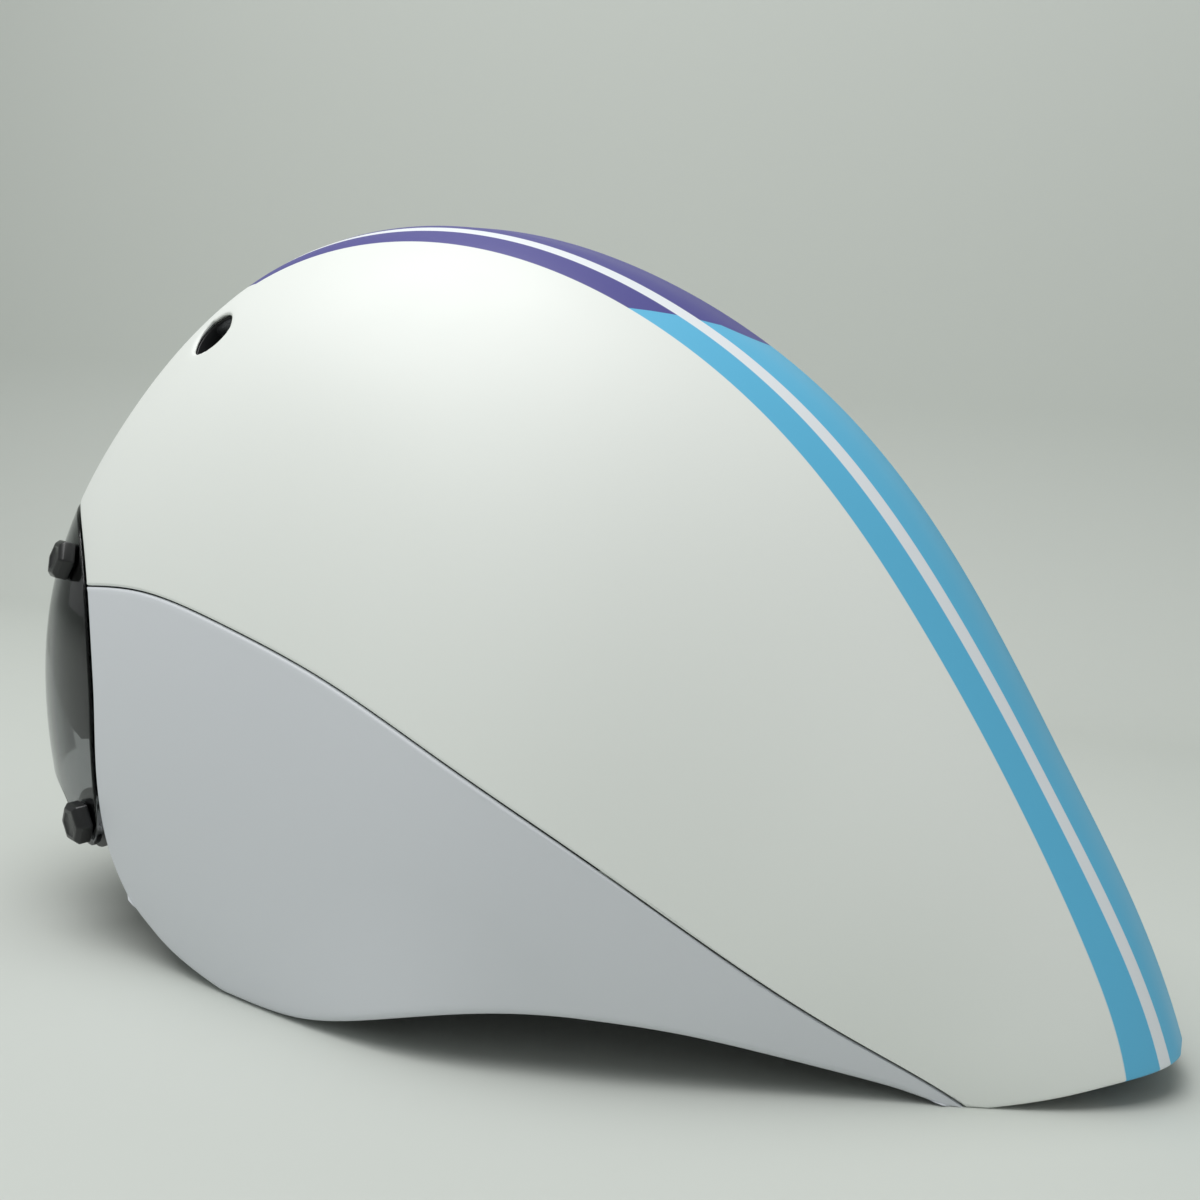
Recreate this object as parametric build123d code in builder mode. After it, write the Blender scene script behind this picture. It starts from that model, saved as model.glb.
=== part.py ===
from build123d import *
from math import atan2, cos, degrees, hypot, pi, radians, sin
import os

# Aero time trial helmet: a long teardrop shell with lower side panels, a magnetic
# face shield, a foam liner with a head cavity, a dial-adjusted head ring and a chin strap.
# Millimetres. The face looks along -X, the tail points along +X, +Z is up, and the
# helmet stands on the origin's plane on its cheek rims and its two tail corners.

os.makedirs("parts", exist_ok=True)

# Overall size
side_length = 375.0
overall_breadth = 196.0
crown_height = 232.0
overrun = 60.0
hull_skirt = 6.0

# Outer hull: half sections on planes that fan about a sideways axis below the floor.
# Each row: fan angle in degrees from the face, reach to the spine, half breadth,
# reach where the side starts to curve in, and roundness of the section.
fan_drop_share = 0.375
fan_reach_share = 0.8507
fan_place_share = 0.0112
side_shift_share = 0.0077
hull_station_shares = (
    (34, 0.668, 0.746, 0.165, 2.36),
    (46, 0.849, 0.830, 0.252, 2.29),
    (58, 0.948, 0.908, 0.333, 2.21),
    (70, 1.015, 0.964, 0.393, 2.11),
    (82, 1.011, 0.998, 0.423, 1.97),
    (94, 0.952, 0.989, 0.413, 1.81),
    (106, 0.873, 0.935, 0.369, 1.70),
    (118, 0.785, 0.869, 0.316, 1.74),
    (130, 0.717, 0.789, 0.257, 1.96),
    (142, 0.683, 0.688, 0.189, 2.23),
    (152, 0.666, 0.593, 0.122, 2.54),
    (156, 0.660, 0.555, 0.098, 2.60),
)
section_steps = 8

# Rim and seam in side view, as shares of the length and of the crown height
front_rim_shares = (
    (-0.560, 0.606), (-0.491, 0.590), (-0.427, 0.565), (-0.391, 0.514), (-0.372, 0.464),
    (-0.354, 0.389), (-0.344, 0.326), (-0.339, 0.263), (-0.333, 0.196), (-0.316, 0.121),
    (-0.297, 0.084), (-0.266, 0.042), (-0.230, 0.017), (-0.186, 0.000),
)
belly_rim_shares = (
    (-0.147, 0.000), (-0.111, 0.004), (-0.039, 0.034), (0.034, 0.063), (0.101, 0.071),
    (0.173, 0.063), (0.251, 0.038), (0.328, 0.009), (0.350, 0.000),
)
tail_rim_shares = ((0.376, 0.000), (0.422, 0.016), (0.455, 0.030), (0.500, 0.043), (0.560, 0.055))
seam_shares = (
    (-0.420, 0.462), (-0.370, 0.472), (-0.295, 0.479), (-0.199, 0.456), (-0.104, 0.414),
    (-0.003, 0.343), (0.085, 0.268), (0.181, 0.171), (0.287, 0.067), (0.357, 0.003),
    (0.385, -0.028),
)

# Shell, panels and liner walls, measured inwards from the outer hull
shell_wall = 2.0
glue_line = 0.3
seam_gap = 0.7
rim_fold = 7.5
rim_height = 4.0

# Face shield
lens_gap = 1.7
tint_wall = 1.0
tint_margin = 2.2
lens_low_shares = (
    (-0.336, 0.150), (-0.345, 0.128), (-0.360, 0.128), (-0.392, 0.168),
    (-0.427, 0.190), (-0.467, 0.198), (-0.560, 0.207),
)
tint_low_shares = (
    (-0.362, 0.268), (-0.380, 0.279), (-0.406, 0.309),
    (-0.437, 0.359), (-0.475, 0.380), (-0.560, 0.384),
)
nose_half_width = 24.0
nose_height = 35.0
nose_base = 42.0

# Bezel behind the shield's margin, with the magnet seats
bezel_outer = 5.0
bezel_flange = 9.0
bezel_tail = 8.0
bezel_lip = 1.0
bezel_flange_shares = (1.0, 1.0, 1.0, 1.0, 0.9, 0.8, 0.55, 0.35, 0.35, 0.35)
knob_places_shares = ((-0.4150, 0.496), (-0.3545, 0.1595))
knob_corner_radius = 7.6
knob_height = 5.4
knob_chamfer = 1.3
knob_stem_radius = 2.5
magnet_radius = 4.5
magnet_height = 2.0
running_gap = 0.3
fit_gap = 0.1
seat_radius = 9.5

# Vents
side_vent_place_share = (-0.303, 0.815)
vent_top_width = 24.0
vent_low_width = 12.0
vent_rise = 12.0
vent_corner = 1.8
vent_wall = 1.2
vent_depth = 14.0
vent_bar = 1.6
vent_bore = 46.0
centre_vent_angle = 60.5
centre_vent_width = 22.0
centre_vent_rise = 17.0

# Head cavity in the foam
cavity_x = -49.0
cavity_z = 95.0
cavity_half_length = 104.0
cavity_half_breadth = 80.0
cavity_rise = 110.0
nape_inset = 1.0
cavity_level_shares = (0.0, 0.28, 0.5, 0.68, 0.82, 0.92, 0.975, 0.998)
channel_depth = 8.0
channel_half_width = 7.0
channel_pitch = 38.0
liner_front_shares = ((-0.300, 0.292), (-0.274, 0.277), (-0.240, 0.272))
liner_tail_shares = (
    (0.085, 0.272), (0.100, 0.400), (0.165, 0.420), (0.225, 0.375), (0.265, 0.260),
    (0.277, 0.130), (0.300, 0.105), (0.400, 0.066), (0.470, 0.078), (0.560, 0.090),
)

# Pads
pad_height = 6.0
pad_shoulder = 3.5
pad_edge = 3.0
brow_pad_low = 147.0
brow_pad_high = 168.0
brow_pad_back = -89.0
crown_pad_front = -109.0
crown_pad_back = 11.0
crown_pad_half_width = 9.0
ear_pad_x = -55.0
ear_pad_z = 36.0
ear_pad_y = 81.5
ear_pad_half_length = 44.0
ear_pad_half_height = 20.0
ear_pad_turn = 8.0
ear_pad_steps_shares = ((2.4, 0.96), (0.9, 1.0), (0.4, 0.93), (0.12, 0.72), (0.0, 0.42))
ear_pad_height = 8.0

# Head ring: two belts on one arc, drawn in by a dial and pinion in a cradle
ring_x = -33.0
ring_radius = 71.0
ring_z = 60.0
belt_wall = 1.4
belt_start = 18.0
belt_reach = 112.0
rack_overlap = 16.0
rack_bar = 2.2
pinion_pitch_radius = 4.0
pinion_teeth = 8
tooth_height = 1.5
tooth_width = 1.15
tooth_root = 1.5
pinion_depth = 4.0
dial_radius = 16.0
dial_height = 9.5
dial_flutes = 12
dial_flute_radius = 2.2
shaft_radius = 1.8
shaft_gap = 0.05
cradle_half_width = 25.0
cradle_half_height = 12.0
cradle_front = 3.6
cradle_back = 4.6
cradle_wall = 1.6
cradle_corner = 5.0
wing_half_angle = 34.0
wing_height = 20.0
height_travel = 8.0
rail_half_width = 6.0
rail_depth = 2.0
rail_clear = 1.1
rail_bottom = 75.0
rail_top = 118.0
rail_head = 12.0
rail_plug_radius = 4.0
rail_plug_length = 10.0
sleeve_height = 16.0
sleeve_wall = 1.2
cradle_pad_height = 4.0
cradle_pad_inner = 26.0
cradle_pad_outer = 33.0
click_radius = 12.0

# Chin strap: webbing, side dividers, buckle, pad and keeper
strap_x = -29.0
strap_width = 15.0
strap_wall = 1.6
strap_side = 78.0
anchor_front_x = -69.0
anchor_rear_x = 17.0
anchor_length = 21.0
anchor_depth = 8.5
anchor_height = 4.0
anchor_edge = 2.0
divider_z = 30.0
divider_length = 24.0
divider_height = 22.0
divider_depth = 6.4
divider_corner = 4.0
floor_gap = 0.3
strap_bend = 7.0
lever_height = 15.0
lever_wall = 2.4
lever_width = 13.0
lever_pin_radius = 1.1
lever_boss = 2.6
lever_ear = 2.0
buckle_half_width = 10.5
buckle_socket_length = 22.0
buckle_plug_length = 14.0
buckle_height = 7.0
buckle_corner = 2.5
tongue_length = 12.0
tongue_half_width = 6.5
tongue_height = 2.4
chin_pad_length = 22.0
chin_pad_half_width = 10.5
chin_pad_height = 5.6
keeper_length = 5.0
keeper_wall = 1.4

# Worked out from the sizes above
half_breadth = overall_breadth / 2
fan_drop = fan_drop_share * crown_height
fan_rise = crown_height + fan_drop
fan_reach = fan_reach_share * side_length
fan_x = fan_place_share * side_length
lens_backing = shell_wall + glue_line
cut_span = half_breadth + overrun
belt_outer = ring_radius + belt_wall
ring_back = ring_x + belt_outer


def side_points(shares):
    """Turn side-view shares into millimetres along X and Z."""
    return [((x + side_shift_share) * side_length, z * crown_height) for x, z in shares]


def shifted(points, distances):
    """Move each point of a side-view line squarely off the line, forwards if positive."""
    moved = []
    for index, (x, z) in enumerate(points):
        before = points[max(index - 1, 0)]
        after = points[min(index + 1, len(points) - 1)]
        run_x, run_z = after[0] - before[0], after[1] - before[1]
        reach = distances[index] / hypot(run_x, run_z)
        moved.append((x + run_z * reach, z - run_x * reach))
    return moved


def hull(inset):
    """The closed outer form, drawn in by an inset on its sides and its spine."""
    with BuildPart() as form:
        for angle, reach, breadth, straight, power in hull_station_shares:
            turn = radians(angle)
            lift = Vector(-cos(turn) * fan_reach, 0, sin(turn) * fan_rise)
            station = Plane(origin=(fan_x, 0, -fan_drop), x_dir=(0, 1, 0),
                            z_dir=Vector(0, 1, 0).cross(lift))
            low = (fan_drop - hull_skirt) / (sin(turn) * fan_rise)
            top = reach - inset / lift.length
            half = breadth * half_breadth - inset
            left = []
            for step in range(section_steps + 1):
                share = low + (top - low) * sin(pi / 2 * step / section_steps)
                curve = min(max((share - straight) / (top - straight), 0), 1)
                left.append((-half * (1 - curve ** power) ** (1 / power), share * lift.length))
            right = [(-across, up) for across, up in reversed(left[:-1])]
            with BuildSketch(station):
                with BuildLine():
                    Spline(*left, *right)
                    Line(right[-1], left[0])
                make_face()
        loft()
    return form.part


def side_prism(*lines):
    """A block right across the helmet whose side view the given lines enclose."""
    with BuildPart() as block:
        with BuildSketch(Plane.XZ):
            with BuildLine():
                for points in lines:
                    if len(points) > 2:
                        Spline(*points)
                    else:
                        Line(*points)
            make_face()
        extrude(amount=cut_span, both=True)
    return block.part


def write_piece(piece, label):
    """Label a finished piece and write its file."""
    piece.part.label = label
    export_step(piece.part, f"parts/{label}.step")


front_rim = side_points(front_rim_shares)
belly_rim = side_points(belly_rim_shares)
tail_rim = side_points(tail_rim_shares)
seam = side_points(seam_shares)
far_front = -side_length / 2 - overrun
far_back = side_length / 2 + overrun
far_top = crown_height + overrun

# Forms that the pieces share
hull_outer = hull(0)
hull_inner = hull(shell_wall)
hull_backing = hull(lens_backing)
hull_tint = hull(lens_backing + tint_wall)
hull_bezel = hull(bezel_outer)
hull_rim = hull(rim_fold)


def closed_below(*lines):
    """Lines plus the straight sides that close them underneath."""
    start, end = lines[0][0], lines[-1][-1]
    return [*lines, [end, (end[0], -overrun)], [(end[0], -overrun), (start[0], -overrun)],
            [(start[0], -overrun), start]]


def closed_above(*lines):
    """Lines plus the straight sides that close them overhead."""
    start, end = lines[0][0], lines[-1][-1]
    return [*lines, [end, (end[0], far_top)], [(end[0], far_top), (start[0], far_top)],
            [(start[0], far_top), start]]


def closed_ahead(*lines):
    """Lines plus the straight sides that close them towards the face."""
    start, end = lines[0][0], lines[-1][-1]
    return [*lines, [end, (far_front, end[1])], [(far_front, end[1]), (far_front, start[1])],
            [(far_front, start[1]), start]]


def rim_lines(lift):
    """The whole rim in side view, raised off the floor by a lift."""
    raised = [[(x, z + lift) for x, z in line] for line in (front_rim, belly_rim, tail_rim)]
    front, belly, tail = raised
    return [front, [front[-1], belly[0]], belly, [belly[-1], tail[0]], tail]


outside_rim = side_prism(*closed_below(*rim_lines(0)))
above_fold = side_prism(*closed_above(*rim_lines(rim_height)))
half_gap = [seam_gap / 2] * len(seam)
below_seam = side_prism(*closed_below(shifted(seam, [-gap for gap in half_gap])))
above_seam = side_prism(*closed_above(shifted(seam, half_gap)))


def hull_seat(place, side):
    """Plane on the outer hull at a side-view place, square to the surface."""
    x, z = place
    ray = Axis((x, 0, z), (0, side, 0))
    point, normal = max(hull_outer.find_intersection_points(ray), key=lambda hit: hit[0].Y * side)
    if normal.Y * side < 0:
        normal = -normal
    return Plane(origin=point, x_dir=Vector(0, 0, 1).cross(normal), z_dir=normal)


knob_places = side_points(knob_places_shares)
knob_seats = [hull_seat(place, side) for place in knob_places for side in (-1, 1)]
vent_place = side_points([side_vent_place_share])[0]
vent_seats = [hull_seat(vent_place, side) for side in (-1, 1)]


def centre_seat():
    """Plane on the spine over the forehead, square to the surface."""
    turn = radians(centre_vent_angle)
    ray = Axis((fan_x, 0, -fan_drop), (-cos(turn) * fan_reach, 0, sin(turn) * fan_rise))
    point, normal = max(hull_outer.find_intersection_points(ray), key=lambda hit: hit[0].Z)
    if normal.Z < 0:
        normal = -normal
    return Plane(origin=point, x_dir=(0, 1, 0), z_dir=(normal.X, 0, normal.Z))


crown_seat = centre_seat()


def vent_outline(top_width, low_width, rise, inset):
    """A trapezoid with rounded corners, wide side up, drawn in by an inset."""
    top, low, tall = top_width / 2 - inset, low_width / 2 - inset, rise / 2 - inset
    with BuildSketch() as outline:
        with BuildLine():
            Polyline((-low, -tall), (low, -tall), (top, tall), (-top, tall), close=True)
        make_face()
        fillet(outline.vertices(), vent_corner)
    return outline.sketch


vent_forms = [(seat, vent_top_width, vent_low_width, vent_rise) for seat in vent_seats]
vent_forms.append((crown_seat, centre_vent_width, centre_vent_width - vent_rise / 2,
                   centre_vent_rise))


def vent_bores(inset, above, depth):
    """The vent openings as blocks that run into the helmet from its surface."""
    with BuildPart() as bores:
        for seat, top_width, low_width, rise in vent_forms:
            with BuildSketch(seat.offset(above)):
                add(vent_outline(top_width, low_width, rise, inset))
            extrude(amount=-(above + depth))
    return bores.part


vent_cuts = vent_bores(0, vent_depth, vent_depth)
vent_channels = vent_bores(vent_wall, 0, vent_bore)

# Shell over the crown and the tail
with BuildPart() as upper_shell:
    add(hull_outer)
    add(hull_inner, mode=Mode.SUBTRACT)
    add(outside_rim, mode=Mode.SUBTRACT)
    add(below_seam, mode=Mode.SUBTRACT)
    add(vent_cuts, mode=Mode.SUBTRACT)
write_piece(upper_shell, "upper_shell")

# Lower side panels, with a folded-in rim to stand on
with BuildPart() as fold_space:
    add(hull_inner)
    add(above_fold, mode=Mode.INTERSECT)

with BuildPart() as side_panels:
    add(hull_outer)
    add(fold_space.part, mode=Mode.SUBTRACT)
    add(hull_rim, mode=Mode.SUBTRACT)
    add(outside_rim, mode=Mode.SUBTRACT)
    add(above_seam, mode=Mode.SUBTRACT)

with BuildPart() as side_panel_left:
    add(side_panels.part.solids().sort_by(Axis.Y)[0])
write_piece(side_panel_left, "side_panel_left")

with BuildPart() as side_panel_right:
    add(side_panels.part.solids().sort_by(Axis.Y)[-1])
write_piece(side_panel_right, "side_panel_right")

# Bezel under the shell's front edge: a deep tail under the shell, a thin flange ahead
brow = front_rim[:len(bezel_flange_shares)]
lip_line = shifted(brow, [bezel_lip] * len(brow))
flange_line = shifted(brow, [share * bezel_flange for share in bezel_flange_shares])
tail_line = shifted(brow, [-bezel_tail] * len(brow))
flange_area = side_prism(flange_line, [flange_line[-1], tail_line[-1]], tail_line[::-1],
                         [tail_line[0], flange_line[0]])
tail_area = side_prism(lip_line, [lip_line[-1], tail_line[-1]], tail_line[::-1],
                       [tail_line[0], lip_line[0]])

with BuildPart() as bezel_flange_form:
    add(flange_area)
    with BuildSketch(Plane.XZ):
        with Locations(*knob_places):
            Circle(seat_radius)
    extrude(amount=cut_span, both=True)
    add(hull_bezel, mode=Mode.INTERSECT)

with BuildPart() as bezel_tail_form:
    add(tail_area)
    add(hull_backing, mode=Mode.INTERSECT)

with BuildPart() as face_bezel:
    add(bezel_flange_form.part)
    add(bezel_tail_form.part)
    add(hull_rim, mode=Mode.SUBTRACT)
    add(side_panels.part, mode=Mode.SUBTRACT)
    for seat in knob_seats:
        with BuildSketch(seat.offset(-bezel_outer + running_gap)):
            Circle(magnet_radius + fit_gap)
        extrude(amount=-(magnet_height + 2 * running_gap), mode=Mode.SUBTRACT)
write_piece(face_bezel, "face_bezel")

with BuildPart() as bezel_magnets:
    for seat in knob_seats:
        with BuildSketch(seat.offset(-bezel_outer - running_gap / 2)):
            Circle(magnet_radius)
        extrude(amount=-magnet_height)
write_piece(bezel_magnets, "bezel_magnets")

# Face shield: a smoked lens with a nose opening and four knob holes
lens_edge = shifted(front_rim, [lens_gap] * len(front_rim))[:len(brow) - 1]
lens_low = side_points(lens_low_shares)
lens_area = side_prism(*closed_ahead(lens_edge, [lens_edge[-1], lens_low[0]], lens_low))


def nose_opening(growth):
    """The arch over the nose, as a block along X."""
    with BuildPart() as arch:
        with BuildSketch(Plane.YZ):
            with Locations((0, nose_base)):
                Ellipse(nose_half_width + growth, nose_height + growth)
            with Locations((0, nose_base - overrun / 2)):
                Rectangle(2 * (nose_half_width + growth), overrun)
        extrude(amount=far_front)
    return arch.part


with BuildPart() as visor_lens:
    add(hull_outer)
    add(hull_inner, mode=Mode.SUBTRACT)
    add(lens_area, mode=Mode.INTERSECT)
    add(nose_opening(0), mode=Mode.SUBTRACT)
    for seat in knob_seats:
        with BuildSketch(seat.offset(knob_height)):
            Circle(knob_stem_radius + fit_gap)
        extrude(amount=-2 * knob_height, mode=Mode.SUBTRACT)
write_piece(visor_lens, "visor_lens")

# Darker second layer bonded behind the upper part of the shield
tint_edge = shifted(front_rim, [lens_gap + tint_margin] * len(front_rim))[:len(brow) - 2]
tint_low = side_points(tint_low_shares)
tint_area = side_prism(*closed_ahead(tint_edge, [tint_edge[-1], tint_low[0]], tint_low))

with BuildPart() as visor_inner_lens:
    add(hull_backing)
    add(hull_tint, mode=Mode.SUBTRACT)
    add(tint_area, mode=Mode.INTERSECT)
    add(nose_opening(tint_margin), mode=Mode.SUBTRACT)
    for seat in knob_seats:
        with BuildSketch(seat.offset(knob_height)):
            Circle(magnet_radius + running_gap)
        extrude(amount=-2 * knob_height, mode=Mode.SUBTRACT)
write_piece(visor_inner_lens, "visor_inner_lens")

# Knobs on the shield, each with a stem to its magnet behind the lens
with BuildPart() as visor_knobs:
    for seat in knob_seats:
        with BuildSketch(seat.offset(running_gap)):
            RegularPolygon(knob_corner_radius, 6)
        extrude(amount=knob_height)
    chamfer([edge for seat in knob_seats for edge in visor_knobs.edges().filter_by(
        lambda edge, seat=seat: abs(seat.to_local_coords(edge.center()).Z - knob_height
                                    - running_gap) < fit_gap
        and (edge.center() - seat.origin).length < 2 * knob_corner_radius)], knob_chamfer)
    for seat in knob_seats:
        with BuildSketch(seat.offset(running_gap)):
            Circle(knob_stem_radius)
        extrude(amount=-(shell_wall + 2 * running_gap))
write_piece(visor_knobs, "visor_knobs")

with BuildPart() as visor_magnets:
    for seat in knob_seats:
        with BuildSketch(seat.offset(-shell_wall - running_gap)):
            Circle(magnet_radius)
        extrude(amount=-(bezel_outer - shell_wall - 3 * running_gap))
write_piece(visor_magnets, "visor_magnets")


def head_form(growth):
    """The head cavity: a half egg over an upright neck opening, let out by a growth."""
    with BuildPart() as form:
        for level in cavity_level_shares:
            spread = (1 - level ** 2) ** 0.5
            with BuildSketch(Plane.XY.offset(cavity_z + level * (cavity_rise + growth))):
                with Locations((cavity_x, 0)):
                    Ellipse((cavity_half_length + growth) * spread,
                            (cavity_half_breadth + growth) * spread)
        loft()
        with BuildSketch(Plane.XY.offset(cavity_z)):
            with Locations((cavity_x, 0)):
                Ellipse(cavity_half_length + growth, cavity_half_breadth + growth)
        extrude(amount=-(cavity_z + overrun))
    return form.part


def box_between(low, high):
    """A block between two opposite corners."""
    with BuildPart() as block:
        with Locations(tuple((a + b) / 2 for a, b in zip(low, high))):
            Box(*[b - a for a, b in zip(low, high)])
    return block.part


# Foam liner with the head cavity, three air channels and the vents' bores
head_space = head_form(0)
liner_brow = shifted(front_rim, [-bezel_tail - glue_line] * len(front_rim))[:len(brow) - 3]
liner_front = liner_brow + side_points(liner_front_shares)
liner_tail = side_points(liner_tail_shares)
liner_floor_z = liner_front[-1][1]
liner_steps = [list(pair) for pair in zip(liner_tail, liner_tail[1:])]
liner_area = side_prism(*closed_above(liner_front, [liner_front[-1], liner_tail[0]], *liner_steps))
rail_plug_z = rail_top - rail_head / 2
head_back = cavity_x + cavity_half_length - nape_inset

with BuildPart() as channel_forms:
    add(head_form(channel_depth))
    with BuildSketch(Plane.XY.offset(cavity_z)):
        with Locations(*[(cavity_x - cavity_half_length, lane * channel_pitch) for lane in (-1, 0, 1)]):
            Rectangle(4 * (crown_pad_back - cavity_x), 2 * channel_half_width)
    extrude(amount=far_top, mode=Mode.INTERSECT)

with BuildPart() as foam_liner:
    add(hull_backing)
    add(liner_area, mode=Mode.INTERSECT)
    add(head_space, mode=Mode.SUBTRACT)
    add(channel_forms.part, mode=Mode.SUBTRACT)
    add(vent_channels, mode=Mode.SUBTRACT)
    add(vent_cuts, mode=Mode.SUBTRACT)
    add(tail_area, mode=Mode.SUBTRACT)
    add(box_between((cavity_x, -rail_half_width, rail_plug_z - rail_head / 2),
                    (head_back, rail_half_width, rail_top)), mode=Mode.SUBTRACT)
    with BuildSketch(Plane.YZ.offset(head_back)):
        with Locations((0, rail_plug_z)):
            Circle(rail_plug_radius)
    extrude(amount=rail_plug_length, mode=Mode.SUBTRACT)
write_piece(foam_liner, "foam_liner")


def vent_insert(form, label):
    """A lining for one vent: a tapering trapezoid collar with one bar across."""
    seat, top_width, low_width, rise = form
    with BuildPart() as insert:
        with BuildSketch(seat.offset(vent_wall)):
            add(vent_outline(top_width, low_width, rise, fit_gap))
        extrude(amount=-(vent_depth - fit_gap))
        add(hull_outer, mode=Mode.INTERSECT)
        with BuildSketch(seat.offset(2 * vent_wall)):
            add(vent_outline(top_width, low_width, rise, vent_wall))
        extrude(amount=-2 * vent_depth, mode=Mode.SUBTRACT)
        with BuildSketch(seat.offset(-2 * shell_wall)):
            Rectangle(vent_bar, rise - vent_wall)
        extrude(amount=-2 * vent_bar)
    write_piece(insert, label)


vent_labels = ("vent_insert_left", "vent_insert_right", "vent_insert_centre")
for form, label in zip(vent_forms, vent_labels):
    vent_insert(form, label)

# Pads that line the cavity, each with a narrower crown on a full base
pad_base = head_form(-glue_line)
pad_middle = head_form(-pad_shoulder)
pad_face = head_form(-pad_height - glue_line)


def lining_pad(low, high, edge):
    """A pad on the cavity wall between two corners of a block, thinner round its edge."""
    with BuildPart() as base:
        add(pad_base)
        add(pad_middle, mode=Mode.SUBTRACT)
        add(box_between(low, high), mode=Mode.INTERSECT)
    with BuildPart() as crown:
        add(pad_middle)
        add(pad_face, mode=Mode.SUBTRACT)
        add(box_between([a + b for a, b in zip(low, edge)],
                        [a - b for a, b in zip(high, edge)]), mode=Mode.INTERSECT)
    with BuildPart() as pad:
        add(base.part)
        add(crown.part)
    return pad.part


with BuildPart() as brow_pad:
    add(lining_pad((far_front, -half_breadth, brow_pad_low),
                   (brow_pad_back, half_breadth, brow_pad_high), (0, 0, pad_edge)))
write_piece(brow_pad, "brow_pad")

with BuildPart() as crown_pads:
    for lane in (-1, 1):
        middle = lane * channel_pitch / 2
        add(lining_pad((crown_pad_front, middle - crown_pad_half_width, brow_pad_high),
                       (crown_pad_back, middle + crown_pad_half_width, crown_height),
                       (pad_edge, pad_edge, 0)))
write_piece(crown_pads, "crown_pads")

ear_turn = radians(ear_pad_turn)
ear_seat = Plane(origin=(ear_pad_x, -ear_pad_y, ear_pad_z), x_dir=(cos(ear_turn), -sin(ear_turn), 0),
                 z_dir=(-sin(ear_turn), -cos(ear_turn), 0))

with BuildPart() as ear_pad_left:
    for depth, spread in ear_pad_steps_shares:
        with BuildSketch(ear_seat.offset(depth * ear_pad_height)):
            Ellipse(ear_pad_half_length * spread, ear_pad_half_height * spread)
    loft()
    add(hull_backing, mode=Mode.INTERSECT)
write_piece(ear_pad_left, "ear_pad_left")

with BuildPart() as ear_pad_right:
    mirror(ear_pad_left.part, about=Plane.XZ)
write_piece(ear_pad_right, "ear_pad_right")


# Head ring
def ring_band(inner, outer, low, high, start, end):
    """A stretch of the head ring between two radii, two heights and two angles."""
    with BuildPart() as band:
        with BuildSketch(Plane.XY.offset(low)):
            with BuildLine():
                first = CenterArc((ring_x, 0), inner, start, end - start)
                second = CenterArc((ring_x, 0), outer, start, end - start)
                Line(first @ 0, second @ 0)
                Line(first @ 1, second @ 1)
            make_face()
        extrude(amount=high - low)
    return band.part


rack_low = pinion_pitch_radius + tooth_height / 2
tooth_pitch = 2 * pi * pinion_pitch_radius / pinion_teeth
rack_middle = ring_radius + belt_wall / 2
tooth_angle = degrees(tooth_pitch / rack_middle)
rack_teeth = int(rack_overlap / tooth_angle)

with BuildPart() as belt_left:
    add(ring_band(ring_radius, belt_outer, ring_z - rack_low + tooth_height + running_gap,
                  ring_z + rack_low + rack_bar, -belt_reach, -belt_start))
    add(ring_band(ring_radius, belt_outer, ring_z + rack_low, ring_z + rack_low + rack_bar,
                  -belt_start, rack_overlap))
    for tooth in range(-rack_teeth, rack_teeth + 1):
        half = degrees(tooth_width / 2 / rack_middle)
        add(ring_band(ring_radius, belt_outer, ring_z + rack_low - tooth_height, ring_z + rack_low,
                      tooth * tooth_angle - half, tooth * tooth_angle + half))
write_piece(belt_left, "belt_left")

ring_axis = Axis((ring_x, 0, ring_z), (1, 0, 0))
with BuildPart() as belt_right:
    add(belt_left.part.rotate(ring_axis, 180))
write_piece(belt_right, "belt_right")

# Dial and pinion on one shaft
pinion_x = ring_x + ring_radius - fit_gap
cover_x = ring_back + cradle_back
dial_x = cover_x + running_gap
pinion_end = pinion_x + pinion_depth

with BuildPart() as pinion_gear:
    with BuildSketch(Plane.YZ.offset(pinion_x)):
        with Locations((0, ring_z)):
            Circle(pinion_pitch_radius - tooth_height / 2 - fit_gap)
            with PolarLocations(pinion_pitch_radius - tooth_height / 2, pinion_teeth,
                                start_angle=180 / pinion_teeth):
                Rectangle(3 * tooth_height - 2 * fit_gap, tooth_width)
            Circle(pinion_pitch_radius + tooth_height / 2 - fit_gap, mode=Mode.INTERSECT)
    extrude(amount=pinion_depth)
    with BuildSketch(Plane.YZ.offset(pinion_end)):
        with Locations((0, ring_z)):
            Circle(shaft_radius)
    extrude(amount=dial_x + dial_height * 2 / 3 - pinion_end)
    with BuildSketch(Plane.YZ.offset(pinion_x)):
        with Locations((0, ring_z)):
            Circle(tooth_root)
    extrude(amount=-cradle_front / 2)
write_piece(pinion_gear, "pinion_gear")

with BuildPart() as dial_knob:
    with BuildSketch(Plane.YZ.offset(dial_x)):
        with Locations((0, ring_z)):
            Circle(dial_radius)
            with PolarLocations(dial_radius + dial_flute_radius / 2, dial_flutes):
                Circle(dial_flute_radius, mode=Mode.SUBTRACT)
    extrude(amount=dial_height)
    chamfer(dial_knob.faces().sort_by(Axis.X)[-1].edges(), knob_chamfer)
    with BuildSketch(Plane.YZ.offset(dial_x)):
        with Locations((0, ring_z)):
            Circle(click_radius + running_gap)
            Circle(shaft_radius + cradle_wall, mode=Mode.SUBTRACT)
    extrude(amount=dial_height / 3, mode=Mode.SUBTRACT)
    with BuildSketch(Plane.YZ.offset(dial_x)):
        with Locations((0, ring_z)):
            Circle(shaft_radius)
    extrude(amount=dial_height * 2 / 3, mode=Mode.SUBTRACT)
write_piece(dial_knob, "dial_knob")

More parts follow.
